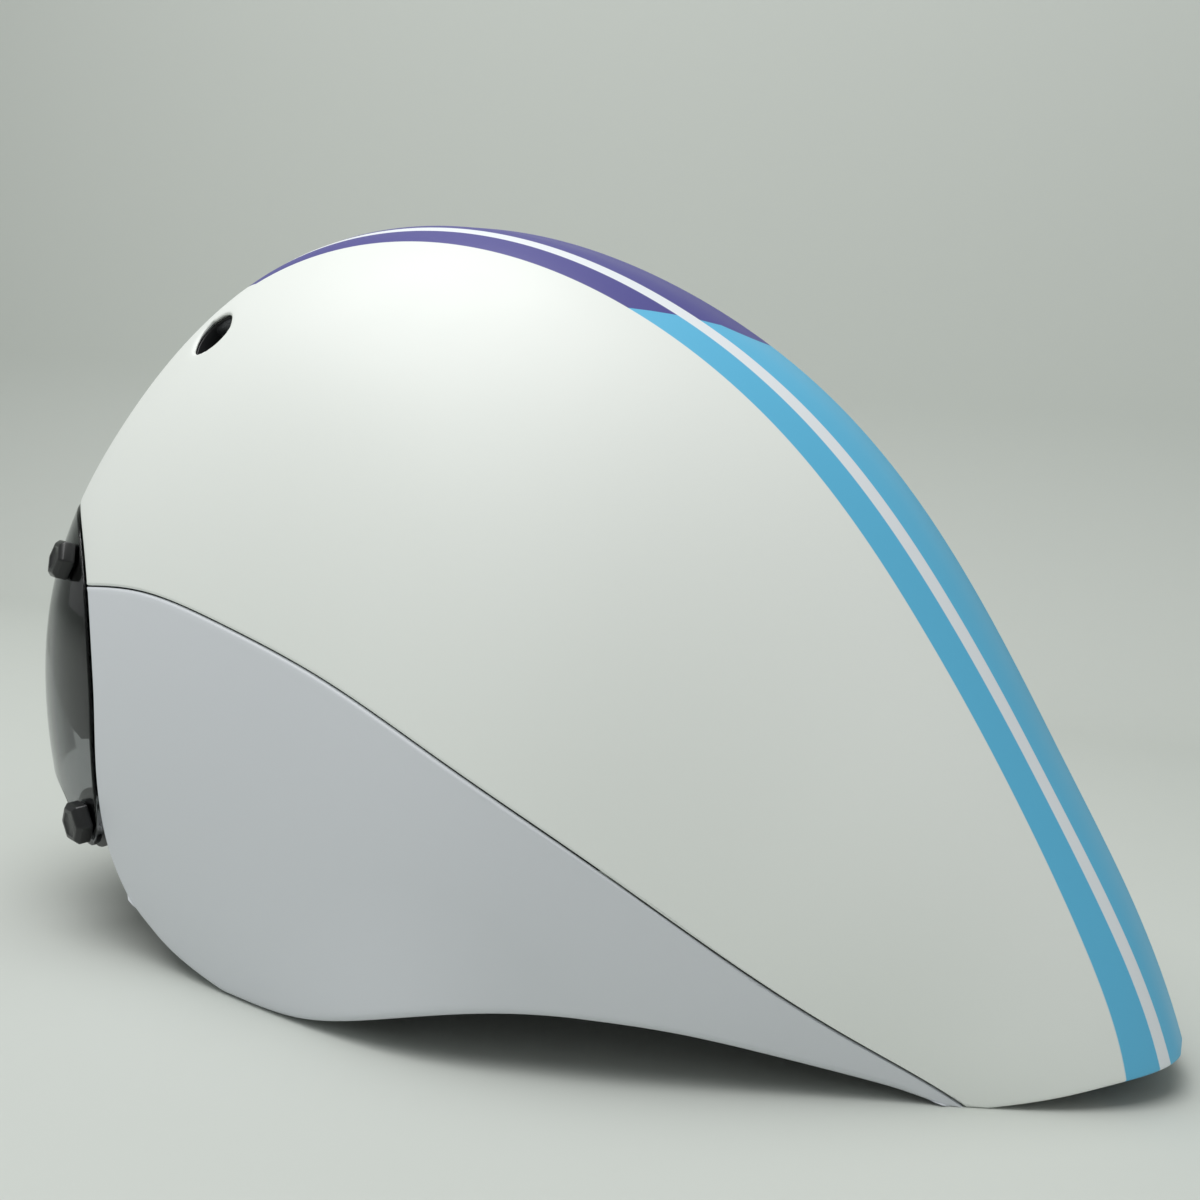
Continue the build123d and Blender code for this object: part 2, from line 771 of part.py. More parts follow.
# Spring ring under the dial, whose two tips click against the dial's rim
with BuildPart() as click_spring:
    with BuildSketch(Plane.YZ.offset(cover_x)):
        with Locations((0, ring_z)):
            Circle(click_radius - cradle_wall)
            Rectangle(2 * click_radius - running_gap, cradle_wall)
            Circle(shaft_radius + 2 * cradle_wall, mode=Mode.SUBTRACT)
    extrude(amount=dial_height / 4)
write_piece(click_spring, "click_spring")


# Cradle: an inner frame with occiput wings, an outer cover and a sleeve for the rail
def behind_ring(inner, outer, half_width, low, high, corner):
    """A stretch of the ring at the nape with a rounded outline seen from behind."""
    with BuildPart() as shell:
        add(ring_band(inner, outer, low, high, -90, 90))
        with BuildSketch(Plane.YZ.offset(ring_x)):
            with Locations((0, (low + high) / 2)):
                RectangleRounded(2 * half_width, high - low, corner)
        extrude(amount=2 * ring_radius, mode=Mode.INTERSECT)
    return shell.part


frame_inner = ring_radius - cradle_front
frame_outer = ring_radius - running_gap
wing_half_width = frame_outer * sin(radians(wing_half_angle))
rail_x = ring_back + rail_clear
sleeve_top = ring_z + cradle_half_height + sleeve_height

with BuildPart() as cradle_frame:
    add(behind_ring(frame_inner, frame_outer, wing_half_width, ring_z - wing_height,
                    ring_z + cradle_half_height, cradle_corner))
    with BuildSketch(Plane.YZ.offset(pinion_x)):
        with Locations((0, ring_z)):
            Circle(tooth_root + shaft_gap)
    extrude(amount=-(cradle_front / 2 + running_gap), mode=Mode.SUBTRACT)
write_piece(cradle_frame, "cradle_frame")

with BuildPart() as cradle_cover:
    add(behind_ring(frame_outer, ring_radius + belt_wall + cradle_back, cradle_half_width,
                    ring_z - cradle_half_height, ring_z + cradle_half_height, cradle_corner))
    with BuildSketch(Plane.YZ.offset(cover_x)):
        with Locations((0, ring_z)):
            Circle(cradle_half_height)
    extrude(amount=-cradle_back)
    with Locations((rail_x + rail_depth / 2, 0, sleeve_top - (sleeve_height + cradle_wall) / 2)):
        Box(rail_depth + 2 * (running_gap + sleeve_wall), 2 * (rail_half_width + running_gap + sleeve_wall),
            sleeve_height + cradle_wall)
    add(ring_band(ring_radius - running_gap, belt_outer + running_gap,
                  ring_z - rack_low - rack_bar - running_gap,
                  ring_z + rack_low + rack_bar + running_gap, -90, 90), mode=Mode.SUBTRACT)
    with BuildSketch(Plane.YZ.offset(pinion_x - running_gap)):
        with Locations((0, ring_z)):
            Circle(pinion_pitch_radius + tooth_height / 2 + running_gap)
    extrude(amount=pinion_depth + 2 * running_gap, mode=Mode.SUBTRACT)
    with BuildSketch(Plane.YZ.offset(pinion_end)):
        with Locations((0, ring_z)):
            Circle(shaft_radius + shaft_gap)
    extrude(amount=2 * cradle_back, mode=Mode.SUBTRACT)
    with Locations((rail_x + rail_depth / 2, 0, sleeve_top)):
        Box(rail_depth + 2 * running_gap, 2 * (rail_half_width + running_gap),
            2 * (sleeve_top - rail_bottom + height_travel + running_gap), mode=Mode.SUBTRACT)
write_piece(cradle_cover, "cradle_cover")

with BuildPart() as cradle_pads:
    for side in (-1, 1):
        for inner, outer, edge in ((frame_inner - cradle_pad_height / 2, frame_inner, 0),
                                   (frame_inner - cradle_pad_height,
                                    frame_inner - cradle_pad_height / 2, pad_edge)):
            with BuildPart(mode=Mode.PRIVATE) as layer:
                add(ring_band(inner, outer, ring_z - wing_height, ring_z + cradle_half_height, -90, 90))
                with BuildSketch(Plane.YZ.offset(ring_x)):
                    with Locations((side * cradle_pad_inner, ring_z - cradle_wall * 2)):
                        RectangleRounded(cradle_pad_inner - 2 * edge, cradle_pad_outer - pad_edge
                                         - 2 * edge, cradle_corner - edge)
                extrude(amount=2 * ring_radius, mode=Mode.INTERSECT)
            add(layer.part)
write_piece(cradle_pads, "cradle_pads")

# Rail in the nape of the liner that carries the cradle
with BuildPart() as height_rail:
    with Locations((rail_x + rail_depth / 2, 0, (rail_bottom + rail_top) / 2)):
        Box(rail_depth, 2 * rail_half_width, rail_top - rail_bottom)
    with Locations(((rail_x + head_back) / 2, 0, rail_plug_z)):
        Box(head_back - rail_x, 2 * rail_half_width, rail_head)
    with BuildSketch(Plane.YZ.offset(head_back)):
        with Locations((0, rail_plug_z)):
            Circle(rail_plug_radius)
    extrude(amount=rail_plug_length)
write_piece(height_rail, "height_rail")


# Strap anchors under the liner, two to a side
anchor_y = strap_side + anchor_depth / 2 - anchor_edge
with BuildPart() as strap_anchors:
    for x in (anchor_front_x, anchor_rear_x):
        for side in (-1, 1):
            with Locations((x, side * anchor_y, liner_floor_z - anchor_height / 2)):
                Box(anchor_length, anchor_depth, anchor_height)
write_piece(strap_anchors, "strap_anchors")

# Left webbing: two legs down to the divider, and a run across the floor to the buckle
strap_top = liner_floor_z - anchor_height
divider_low = divider_z - divider_height / 2
strap_floor = chin_pad_height / 2 + floor_gap
socket_back = -buckle_socket_length


def divider_form(growth):
    """The block of the left divider, let out by a growth."""
    with BuildPart() as form:
        with BuildSketch(Plane.XZ.offset(strap_side - divider_depth / 2 - growth)):
            with Locations((strap_x, divider_z)):
                RectangleRounded(divider_length + 2 * growth, divider_height + 2 * growth,
                                 divider_corner)
        extrude(amount=divider_depth + 2 * growth)
    return form.part


def floor_strap(end):
    """Webbing from the left divider down to the floor and across to an end."""
    with BuildPart() as run:
        with BuildSketch(Plane.YZ.offset(strap_x - strap_width / 2)):
            with BuildLine():
                FilletPolyline((-strap_side, divider_z), (strap_bend - strap_side, strap_floor),
                               (end, strap_floor), radius=strap_bend)
            trace(line_width=strap_wall)
        extrude(amount=strap_width)
        add(divider_form(0), mode=Mode.SUBTRACT)
    return run.part


with BuildPart() as leg_straps:
    with BuildSketch(Plane.XZ.offset(strap_side - strap_wall / 2)):
        for x in (anchor_front_x, anchor_rear_x):
            with BuildLine():
                Line((x, strap_top), (strap_x, divider_z))
            trace(line_width=strap_width)
        with Locations((strap_x, strap_top + overrun / 2)):
            Rectangle(2 * cavity_half_length, overrun, mode=Mode.SUBTRACT)
    extrude(amount=strap_wall)
    add(divider_form(0), mode=Mode.SUBTRACT)

with BuildPart() as strap_left:
    add(leg_straps.part)
    add(floor_strap(socket_back))
write_piece(strap_left, "strap_left")

plug_back = running_gap + buckle_plug_length
with BuildPart() as strap_right:
    mirror(leg_straps.part, about=Plane.XZ)
    mirror(floor_strap(-plug_back), about=Plane.XZ)
write_piece(strap_right, "strap_right")

# Dividers below the ears, each with a lever that clamps the webbing
lever_y = strap_side - divider_depth / 2 - lever_wall / 2 - fit_gap
lever_z = divider_z + divider_height / 2 - lever_boss
ear_middle = lever_width / 2 + fit_gap + lever_ear / 2

with BuildPart() as strap_divider_left:
    add(divider_form(0))
    for side in (-1, 1):
        with BuildSketch(Plane.YZ.offset(strap_x + side * ear_middle - lever_ear / 2)):
            with Locations((-lever_y, lever_z)):
                Circle(lever_boss)
            with Locations((-lever_y - lever_boss / 2, lever_z)):
                Rectangle(lever_boss, 2 * lever_boss)
        extrude(amount=lever_ear)
        with BuildSketch(Plane.YZ.offset(strap_x + side * ear_middle - lever_ear)):
            with Locations((-lever_y, lever_z)):
                Circle(lever_pin_radius + shaft_gap)
        extrude(amount=2 * lever_ear, mode=Mode.SUBTRACT)
write_piece(strap_divider_left, "strap_divider_left")

with BuildPart() as strap_divider_right:
    mirror(strap_divider_left.part, about=Plane.XZ)
write_piece(strap_divider_right, "strap_divider_right")

with BuildPart() as divider_lever_left:
    with BuildSketch(Plane.YZ.offset(strap_x - lever_width / 2)):
        with Locations((-lever_y, lever_z)):
            Circle(lever_wall / 2)
        with Locations((-lever_y, lever_z - lever_height / 2)):
            Rectangle(lever_wall, lever_height)
    extrude(amount=lever_width)
    with BuildSketch(Plane.YZ.offset(strap_x - ear_middle - lever_ear / 2)):
        with Locations((-lever_y, lever_z)):
            Circle(lever_pin_radius)
    extrude(amount=2 * ear_middle + lever_ear)
write_piece(divider_lever_left, "divider_lever_left")

with BuildPart() as divider_lever_right:
    mirror(divider_lever_left.part, about=Plane.XZ)
write_piece(divider_lever_right, "divider_lever_right")


# Buckle on the floor between the side panels: a socket and a plug with a tongue
def buckle_block(near, far):
    """A rounded buckle body between two places across the helmet."""
    with BuildPart() as block:
        with BuildSketch(Plane.XY.offset(floor_gap)):
            with Locations((strap_x, (near + far) / 2)):
                RectangleRounded(2 * buckle_half_width, far - near, buckle_corner)
        extrude(amount=buckle_height)
        chamfer(block.faces().sort_by(Axis.Z)[-1].edges(), knob_chamfer)
    return block.part


with BuildPart() as buckle_socket:
    add(buckle_block(socket_back, 0))
    with Locations((strap_x, -(tongue_length + running_gap) / 2, floor_gap + buckle_height / 2)):
        Box(2 * (tongue_half_width + running_gap), tongue_length + running_gap,
            tongue_height + 2 * running_gap, mode=Mode.SUBTRACT)
write_piece(buckle_socket, "buckle_socket")

with BuildPart() as buckle_plug:
    add(buckle_block(running_gap, plug_back))
    with Locations((strap_x, running_gap - tongue_length / 2, floor_gap + buckle_height / 2)):
        Box(2 * tongue_half_width, tongue_length, tongue_height)
write_piece(buckle_plug, "buckle_plug")

# Chin pad round the left webbing and a rubber keeper round the right
webbing_slot = strap_wall + 2 * fit_gap
with BuildPart() as chin_pad:
    middle = socket_back - running_gap - chin_pad_length / 2
    with BuildSketch(Plane.YZ.offset(strap_x - chin_pad_half_width)):
        with Locations((middle, strap_floor)):
            Ellipse(chin_pad_length / 2, chin_pad_height / 2)
    extrude(amount=2 * chin_pad_half_width)
    with Locations((strap_x, middle, strap_floor)):
        Box(strap_width + 2 * fit_gap, chin_pad_length, webbing_slot, mode=Mode.SUBTRACT)
write_piece(chin_pad, "chin_pad")

with BuildPart() as strap_keeper:
    with Locations((strap_x, plug_back + running_gap + keeper_length / 2, strap_floor)):
        Box(strap_width + 2 * (fit_gap + keeper_wall), keeper_length, webbing_slot + 2 * keeper_wall)
        Box(strap_width + 2 * fit_gap, keeper_length, webbing_slot, mode=Mode.SUBTRACT)
write_piece(strap_keeper, "strap_keeper")
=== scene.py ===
"""Looks of an aero time trial helmet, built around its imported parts.

Sizes are in millimetres and become metres where a mesh is made. The face looks
along -X, the tail points along +X, the left side is -Y and +Z is up.
"""

import logging
import math
from dataclasses import dataclass, replace
from enum import Enum
from typing import Callable, Sequence

import bmesh
import bpy
import numpy as np
from mathutils import Matrix, Vector
from mathutils.bvhtree import BVHTree


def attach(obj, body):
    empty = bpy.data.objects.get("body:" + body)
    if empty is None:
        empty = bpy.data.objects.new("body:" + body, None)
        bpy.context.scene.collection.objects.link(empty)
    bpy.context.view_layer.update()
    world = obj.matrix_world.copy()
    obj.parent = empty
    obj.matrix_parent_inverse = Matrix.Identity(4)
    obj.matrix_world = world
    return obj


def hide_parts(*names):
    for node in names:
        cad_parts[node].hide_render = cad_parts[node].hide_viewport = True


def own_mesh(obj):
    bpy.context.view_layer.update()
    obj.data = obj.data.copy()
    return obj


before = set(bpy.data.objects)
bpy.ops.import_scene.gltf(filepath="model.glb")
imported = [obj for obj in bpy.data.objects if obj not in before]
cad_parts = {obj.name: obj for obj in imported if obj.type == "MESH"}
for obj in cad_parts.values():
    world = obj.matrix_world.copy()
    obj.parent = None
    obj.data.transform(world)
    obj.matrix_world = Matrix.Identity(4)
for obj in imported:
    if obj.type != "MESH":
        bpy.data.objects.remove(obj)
LOG = logging.getLogger("helmet")
METRE = 0.001
SWELL_FRAMES = 20
LEFT, UP, BACK = (0.0, -1.0, 0.0), (0.0, 0.0, 1.0), (1.0, 0.0, 0.0)
MIRROR = (1, -1, 1)
SIDES = (("left", -1), ("right", 1))
TINY = 1e-12
LEAST_EDGE = 0.03
Points = np.ndarray
Face = tuple[int, ...]
Piece, Mesh = bpy.types.Object, bpy.types.Mesh
Tree, Node, Socket = bpy.types.NodeTree, bpy.types.Node, bpy.types.NodeSocket


# Curves and surfaces -----------------------------------------------------------

class CubicLine:
    """A smooth line through points, with free ends.

    Args:
        places: where along the line each row of values holds.
        values: one row of numbers for each place.
    """

    def __init__(self, places: Sequence[float], values: Sequence[Sequence[float]]) -> None:
        """Solve for the bend at each place."""
        self.places = np.asarray(places, float)
        self.values = np.asarray(values, float)
        count, step = len(self.places), np.diff(self.places)
        system, right = np.eye(count), np.zeros_like(self.values)
        for i in range(1, count - 1):
            system[i, i - 1:i + 2] = step[i - 1], 2 * (step[i - 1] + step[i]), step[i]
            right[i] = 6 * ((self.values[i + 1] - self.values[i]) / step[i]
                            - (self.values[i] - self.values[i - 1]) / step[i - 1])
        self.bends = np.linalg.solve(system, right)

    def at(self, place: Points) -> Points:
        """Return the values at places, as one row for each."""
        place = np.clip(np.asarray(place, float), self.places[0], self.places[-1])
        i = np.clip(np.searchsorted(self.places, place) - 1, 0, len(self.places) - 2)
        step = (self.places[i + 1] - self.places[i])[..., None]
        back = (self.places[i + 1] - place)[..., None] / step
        ahead = 1 - back
        return (back * self.values[i] + ahead * self.values[i + 1]
                + ((back ** 3 - back) * self.bends[i] + (ahead ** 3 - ahead) * self.bends[i + 1])
                * step ** 2 / 6)


def run_lengths(line: Points) -> Points:
    """Return the distance along a line at each of its points."""
    return np.concatenate([[0.0], np.cumsum(np.linalg.norm(np.diff(line, axis=0), axis=1))])


def smooth_line(points: Sequence[Sequence[float]], spacing: float = 0.5) -> Points:
    """Draw a dense smooth line through a few points.

    Args:
        points: the points that it passes through.
        spacing: distance between the points returned.

    Returns:
        The dense line.
    """
    points = np.asarray(points, float)
    along = run_lengths(points)
    count = max(int(along[-1] / spacing), 2)
    return CubicLine(along, points).at(np.linspace(0, along[-1], count))


def resample(line: Points, shares: Points) -> Points:
    """Return the points at shares of a line's length."""
    along = run_lengths(line)
    return np.stack([np.interp(shares * along[-1], along, line[:, k])
                     for k in range(line.shape[1])], axis=-1)


def crossing(first: Points, second: Points) -> tuple[int, int, Points]:
    """Find where two lines in a plane first meet.

    Args:
        first: one line.
        second: the other line.

    Returns:
        The segment number on each line, and the meeting point.
    """
    for i in range(len(first) - 1):
        step = first[i + 1] - first[i]
        ends = second[1:] - second[:-1]
        gap = second[:-1] - first[i]
        turn = step[0] * ends[:, 1] - step[1] * ends[:, 0]
        turn = np.where(np.abs(turn) < TINY, TINY, turn)
        here = (gap[:, 0] * ends[:, 1] - gap[:, 1] * ends[:, 0]) / turn
        there = (gap[:, 0] * step[1] - gap[:, 1] * step[0]) / turn
        hits = np.nonzero((here >= 0) & (here < 1) & (there >= 0) & (there < 1))[0]
        if len(hits):
            return i, int(hits[0]), first[i] + step * here[hits[0]]
    raise ValueError("the two lines don't meet")


def shifted(line: Points, distance: float) -> Points:
    """Move a side-view line squarely off itself, forwards or downwards if positive."""
    run = np.gradient(line, axis=0)
    run /= np.linalg.norm(run, axis=1)[:, None]
    return line + points_at(run[:, 1], -run[:, 0]) * distance


def patch(south: Points, north: Points, west: Points, east: Points) -> Points:
    """Fill four meeting lines with a grid.

    Args:
        south: line from the south-west corner to the south-east one.
        north: line from the north-west corner to the north-east one.
        west: line from the south-west corner to the north-west one.
        east: line from the south-east corner to the north-east one.

    Returns:
        Grid of points, with rows from south to north.
    """
    right = np.linspace(0, 1, len(south))[None, :, None]
    up = np.linspace(0, 1, len(west))[:, None, None]
    level = (1 - up) * south[None] + up * north[None]
    upright = (1 - right) * west[:, None] + right * east[:, None]
    corners = ((1 - right) * (1 - up) * south[0] + right * (1 - up) * south[-1]
               + (1 - right) * up * north[0] + right * up * north[-1])
    return level + upright - corners


def grid_faces(rows: int, columns: int, closed: bool = False) -> list[Face]:
    """Return the quads of a grid of points, joined end to end if it is closed."""
    wide = columns if closed else columns - 1
    return [(r * columns + c, r * columns + (c + 1) % columns,
             (r + 1) * columns + (c + 1) % columns, (r + 1) * columns + c)
            for r in range(rows - 1) for c in range(wide)]


def points_at(*parts: Points | float) -> Points:
    """Return points from each coordinate's values, or its one value for all."""
    return np.stack(np.broadcast_arrays(*parts), axis=-1)


def circle(count: int) -> Points:
    """Return evenly spaced angles of a full turn."""
    return np.linspace(0, 2 * math.pi, count, endpoint=False)


def unit(vectors: Points) -> Points:
    """Return vectors with a length of one."""
    return vectors / np.maximum(np.linalg.norm(vectors, axis=-1, keepdims=True), TINY)


@dataclass
class Sheet:
    """A surface of faces that are wound outwards.

    Args:
        points: its points in millimetres.
        faces: the point numbers of each face.
        lie: millimetres along and across a strap at each point, for its weave.
        facing: the outward direction at each point, where it is known.
    """

    points: Points
    faces: list[Face]
    lie: Points | None = None
    facing: Points | None = None

    def normals(self) -> Points:
        """Return the outward direction at each point."""
        if self.facing is not None:
            return self.facing
        total = np.zeros_like(self.points)
        for face in self.faces:
            corners = self.points[list(face)]
            area = np.zeros(3)
            for i in range(1, len(face) - 1):
                area += np.cross(corners[i] - corners[0], corners[i + 1] - corners[0])
            total[list(face)] += area
        return unit(total)

    def flipped(self) -> "Sheet":
        """Return the surface with its faces wound the other way."""
        return replace(self, faces=[face[::-1] for face in self.faces])

    def outwards(self, number: int, way: Sequence[float]) -> "Sheet":
        """Return the surface wound so that it faces a way at one of its points."""
        there = Sheet(self.points, self.faces).normals()[number]
        return self if there @ np.asarray(way) > 0 else self.flipped()

    def mirrored(self) -> "Sheet":
        """Return the surface on the other side of the helmet."""
        return Sheet(self.points * MIRROR, [face[::-1] for face in self.faces])

    def edge_loops(self) -> list[list[int]]:
        """Return the open edges as closed runs of point numbers."""
        edges = {(face[i], face[(i + 1) % len(face)]) for face in self.faces
                 for i in range(len(face))}
        following = {a: b for a, b in edges if (b, a) not in edges}
        loops = []
        while following:
            start = min(following)
            loop, here = [start], following.pop(start)
            while here != start:
                loop.append(here)
                here = following.pop(here)
            loops.append(loop)
        return loops

    def joined(self, other: "Sheet") -> "Sheet":
        """Return this surface and another as one."""
        count = len(self.points)
        lie = np.concatenate([self.lie, other.lie]) if self.lie is not None else None
        return Sheet(np.concatenate([self.points, other.points]),
                     self.faces + [tuple(i + count for i in face) for face in other.faces], lie)

    def thickened(self, wall: float, outer_edge: float, inner_edge: float = 0.3,
                  steps: int = 4) -> "Sheet":
        """Give the surface a wall inwards, with rounded edges all round.

        Args:
            wall: thickness of the wall.
            outer_edge: radius of the outer edge.
            inner_edge: radius of the inner edge.
            steps: number of faces round each edge.

        Returns:
            The closed surface.
        """
        normals, count = self.normals(), len(self.points)
        outer, inner = self.points.copy(), self.points - normals * wall
        faces = self.faces + [tuple(i + count for i in face[::-1]) for face in self.faces]
        extra: list[Points] = []
        for loop in self.edge_loops():
            edge, normal = self.points[loop], normals[loop]
            ahead = np.linalg.norm(np.roll(edge, -1, 0) - edge, axis=1)
            room = 2 * np.minimum(ahead, np.roll(ahead, 1))
            radius = np.clip(room, LEAST_EDGE, outer_edge)[:, None]
            out = unit(np.cross(np.roll(edge, -1, 0) - np.roll(edge, 1, 0), normal))
            outer[loop] = edge - out * radius
            inner[loop] = edge - normal * wall - out * inner_edge
            rows = []
            for k in range(1, steps + 1):
                turn = math.pi / 2 * k / steps
                rows.append(edge - out * radius * (1 - math.sin(turn))
                            - normal * radius * (1 - math.cos(turn)))
            for k in range(2):
                turn = math.pi / 4 * k
                rows.append(edge - normal * (wall - inner_edge * (1 - math.sin(turn)))
                            - out * inner_edge * (1 - math.cos(turn)))
            numbers = [list(loop)]
            for row in rows:
                start = 2 * count + sum(len(block) for block in extra)
                numbers.append(list(range(start, start + len(loop))))
                extra.append(row)
            numbers.append([i + count for i in loop])
            for near, far in zip(numbers, numbers[1:]):
                for i in range(len(loop)):
                    j = (i + 1) % len(loop)
                    faces.append((near[j], near[i], far[i], far[j]))
        return Sheet(np.concatenate([outer, inner, *extra]), faces)

    def make(self, name: str, look: "Look | Finish", smooth: float = 40) -> Piece:
        """Make the surface a piece of the scene.

        Args:
            name: name of the piece.
            look: its finish.
            smooth: largest angle in degrees that is shaded as one smooth face.

        Returns:
            The new object.
        """
        mesh = bpy.data.meshes.new(name)
        mesh.from_pydata((self.points * METRE).tolist(), [], self.faces)
        mesh.validate()
        coat(mesh, look)
        if self.lie is not None:
            corners = np.empty(len(mesh.loops), np.int32)
            mesh.loops.foreach_get("vertex_index", corners)
            mesh.uv_layers.new(name="lie").data.foreach_set("uv", self.lie[corners].ravel())
        mesh.shade_smooth()
        mesh.set_sharp_from_angle(angle=math.radians(smooth))
        return placed(name, mesh)


@dataclass(frozen=True)
class Hull:
    """The outer form: half sections on planes that fan about a sideways axis.

    Each station holds the fan angle, the reach to the spine, the half breadth, the
    reach where the side starts to curve in, and the roundness of the section.
    """

    axis_x: float = 4.2
    axis_z: float = -87.0
    span: float = 319.0
    half_breadth: float = 98.0
    skirt: float = 6.0
    length: float = 375.0
    height: float = 232.0
    shift_share: float = 0.0077
    stations: tuple = (
        (34, .668, .746, .165, 2.36), (46, .849, .830, .252, 2.29), (58, .948, .908, .333, 2.21),
        (70, 1.015, .964, .393, 2.11), (82, 1.011, .998, .423, 1.97), (94, .952, .989, .413, 1.81),
        (106, .873, .935, .369, 1.70), (118, .785, .869, .316, 1.74), (130, .717, .789, .257, 1.96),
        (142, .683, .688, .189, 2.23), (152, .666, .593, .122, 2.54), (156, .660, .555, .098, 2.60))

    def section(self, angle: Points, inset: float) -> tuple[Points, ...]:
        """Return the start, spine, half breadth, side share and roundness at fan angles."""
        table = CubicLine([row[0] for row in self.stations], [row[1:] for row in self.stations])
        reach, breadth, straight, power = np.moveaxis(table.at(angle), -1, 0)
        low = (-self.axis_z - self.skirt) / (np.sin(np.radians(angle)) * self.span)
        return (low, reach - inset / self.span, breadth * self.half_breadth - inset,
                straight, power)

    def side_points(self, shares: Sequence[Sequence[float]]) -> Points:
        """Turn side-view shares into millimetres along X and Z."""
        shares = np.asarray(shares, float)
        return points_at((shares[:, 0] + self.shift_share) * self.length,
                         shares[:, 1] * self.height)

    def side_line(self, shares: Sequence[Sequence[float]]) -> Points:
        """Return the smooth side-view line through a table of shares."""
        return smooth_line(self.side_points(shares))

    def fan(self, x: Points, z: Points) -> tuple[Points, Points]:
        """Return the fan angle and reach share of side-view places."""
        angle = np.degrees(np.arctan2(z - self.axis_z, self.axis_x - x))
        return angle, np.hypot(x - self.axis_x, z - self.axis_z) / self.span

    def climb(self, line: Points, inset: float = 0) -> Points:
        """Turn side-view places into fan angles and climbs, 0 at the skirt to 1 at the spine."""
        angle, _ = self.fan(line[..., 0], line[..., 1])
        ratio = np.clip(self.over(line, inset), 0, 1)
        return points_at(angle, np.arcsin(ratio) / (math.pi / 2))

    def over(self, line: Points, inset: float = 0) -> Points:
        """Say how far beyond the spine side-view places are, above 1 where they are."""
        angle, share = self.fan(line[..., 0], line[..., 1])
        low, top, *_ = self.section(angle, inset)
        return (share - low) / (top - low)

    def surface(self, climbs: Points, inset: float = 0) -> Points:
        """Return the left side's points at fan angles and climbs."""
        angle, share = climbs[..., 0], climbs[..., 1]
        low, top, half, straight, power = self.section(angle, inset)
        reach = low + (top - low) * np.sin(np.clip(share, 0, 1) * math.pi / 2)
        curve = np.clip((reach - straight) / (top - straight), 0, 1)
        across = half * (1 - curve ** power) ** (1 / power)
        turn = np.radians(angle)
        return points_at(self.axis_x - np.cos(turn) * reach * self.span, -across,
                         self.axis_z + np.sin(turn) * reach * self.span)

    def beside(self, places: Points, inset: float = 0) -> Points:
        """Return the left side's points at side-view places."""
        angle, share = self.fan(places[..., 0], places[..., 1])
        low, top, half, straight, power = self.section(angle, inset)
        curve = np.clip((share - straight) / (top - straight), 0, 1)
        across = half * (1 - curve ** power) ** (1 / power)
        return points_at(places[..., 0], -across, places[..., 1])

    def facing(self, places: Points, step: float = 0.5) -> Points:
        """Return the left side's outward directions at side-view places."""
        here = self.beside(places)
        ahead, above = (self.beside(places + move) - here for move in ((step, 0), (0, step)))
        normal = unit(np.cross(ahead, above))
        return np.where(normal[..., 1:2] > 0, -normal, normal)

    def outside(self, points: Points) -> Points:
        """Return a measure of points that is positive outside the hull."""
        angle, share = self.fan(points[..., 0], points[..., 2])
        _, top, half, straight, power = self.section(angle, 0)
        curve = np.clip((share - straight) / (top - straight), 0, None)
        return curve ** power + (np.abs(points[..., 1]) / half) ** power - 1

    def seat(self, place: Sequence[float], side: int) -> "Seat":
        """Return the seat on the hull's side at a side-view place."""
        places = np.array([place])
        flip = (1, -side, 1)
        return Seat(self.beside(places)[0] * flip, self.facing(places)[0] * flip)

    def crest_seat(self, angle: float, step: float = 0.5) -> "Seat":
        """Return the seat on the spine at a fan angle."""
        below, here, above = self.surface(np.array([[angle + k * step, 1] for k in (-1, 0, 1)]))
        run = unit(above - below)
        return Seat(here, np.array([-run[2], 0, run[0]]), np.array([0.0, 1.0, 0.0]))


@dataclass(frozen=True)
class Seat:
    """A place on the hull, with its outward direction.

    Args:
        origin: the place in millimetres.
        normal: the outward direction.
        across: the seat's own first axis, level if it isn't given.
        drop_range: the lowest and the highest lift at which the hull is looked for.
        drop_halvings: how often that range is halved.
    """

    origin: Points
    normal: Points
    across: Points | None = None
    drop_range: tuple = (-20.0, 8.0)
    drop_halvings: int = 34

    def axes(self) -> tuple[Points, Points]:
        """Return the seat's two axes in the surface."""
        first = self.across if self.across is not None else unit(np.cross((0, 0, 1), self.normal))
        return first, np.cross(self.normal, first)

    def place(self, flat: Points, lift: Points | float = 0) -> Points:
        """Return points in space from places in the seat's plane and their lift."""
        first, second = self.axes()
        lift = np.broadcast_to(np.asarray(lift, float), flat.shape[:-1])
        return (self.origin + flat[..., :1] * first + flat[..., 1:2] * second
                + lift[..., None] * self.normal)

    def flat(self, points: Points) -> Points:
        """Return the places of points in the seat's plane."""
        first, second = self.axes()
        return points_at((points - self.origin) @ first, (points - self.origin) @ second)

    def drop(self, hull: Hull, flat: Points) -> Points:
        """Drop places in the seat's plane on to the hull."""
        low, high = (np.full(flat.shape[:-1], lift) for lift in self.drop_range)
        for _ in range(self.drop_halvings):
            middle = (low + high) / 2
            out = hull.outside(self.place(flat, middle)) > 0
            low, high = np.where(out, low, middle), np.where(out, middle, high)
        return self.place(flat, (low + high) / 2)


HULL = Hull()


def corner_arc(before: Points, corner: Points, after: Points,
               radius: float) -> tuple[Points, Points, Points]:
    """Return the centre of the arc that rounds a corner, and the ways to its two ends."""
    back, ahead = unit(before - corner), unit(after - corner)
    half = math.acos(float(np.clip(back @ ahead, -1, 1))) / 2
    centre = corner + unit(back + ahead) * radius / math.sin(half)
    start, end = (corner + way * radius / math.tan(half) - centre for way in (back, ahead))
    return centre, start, end


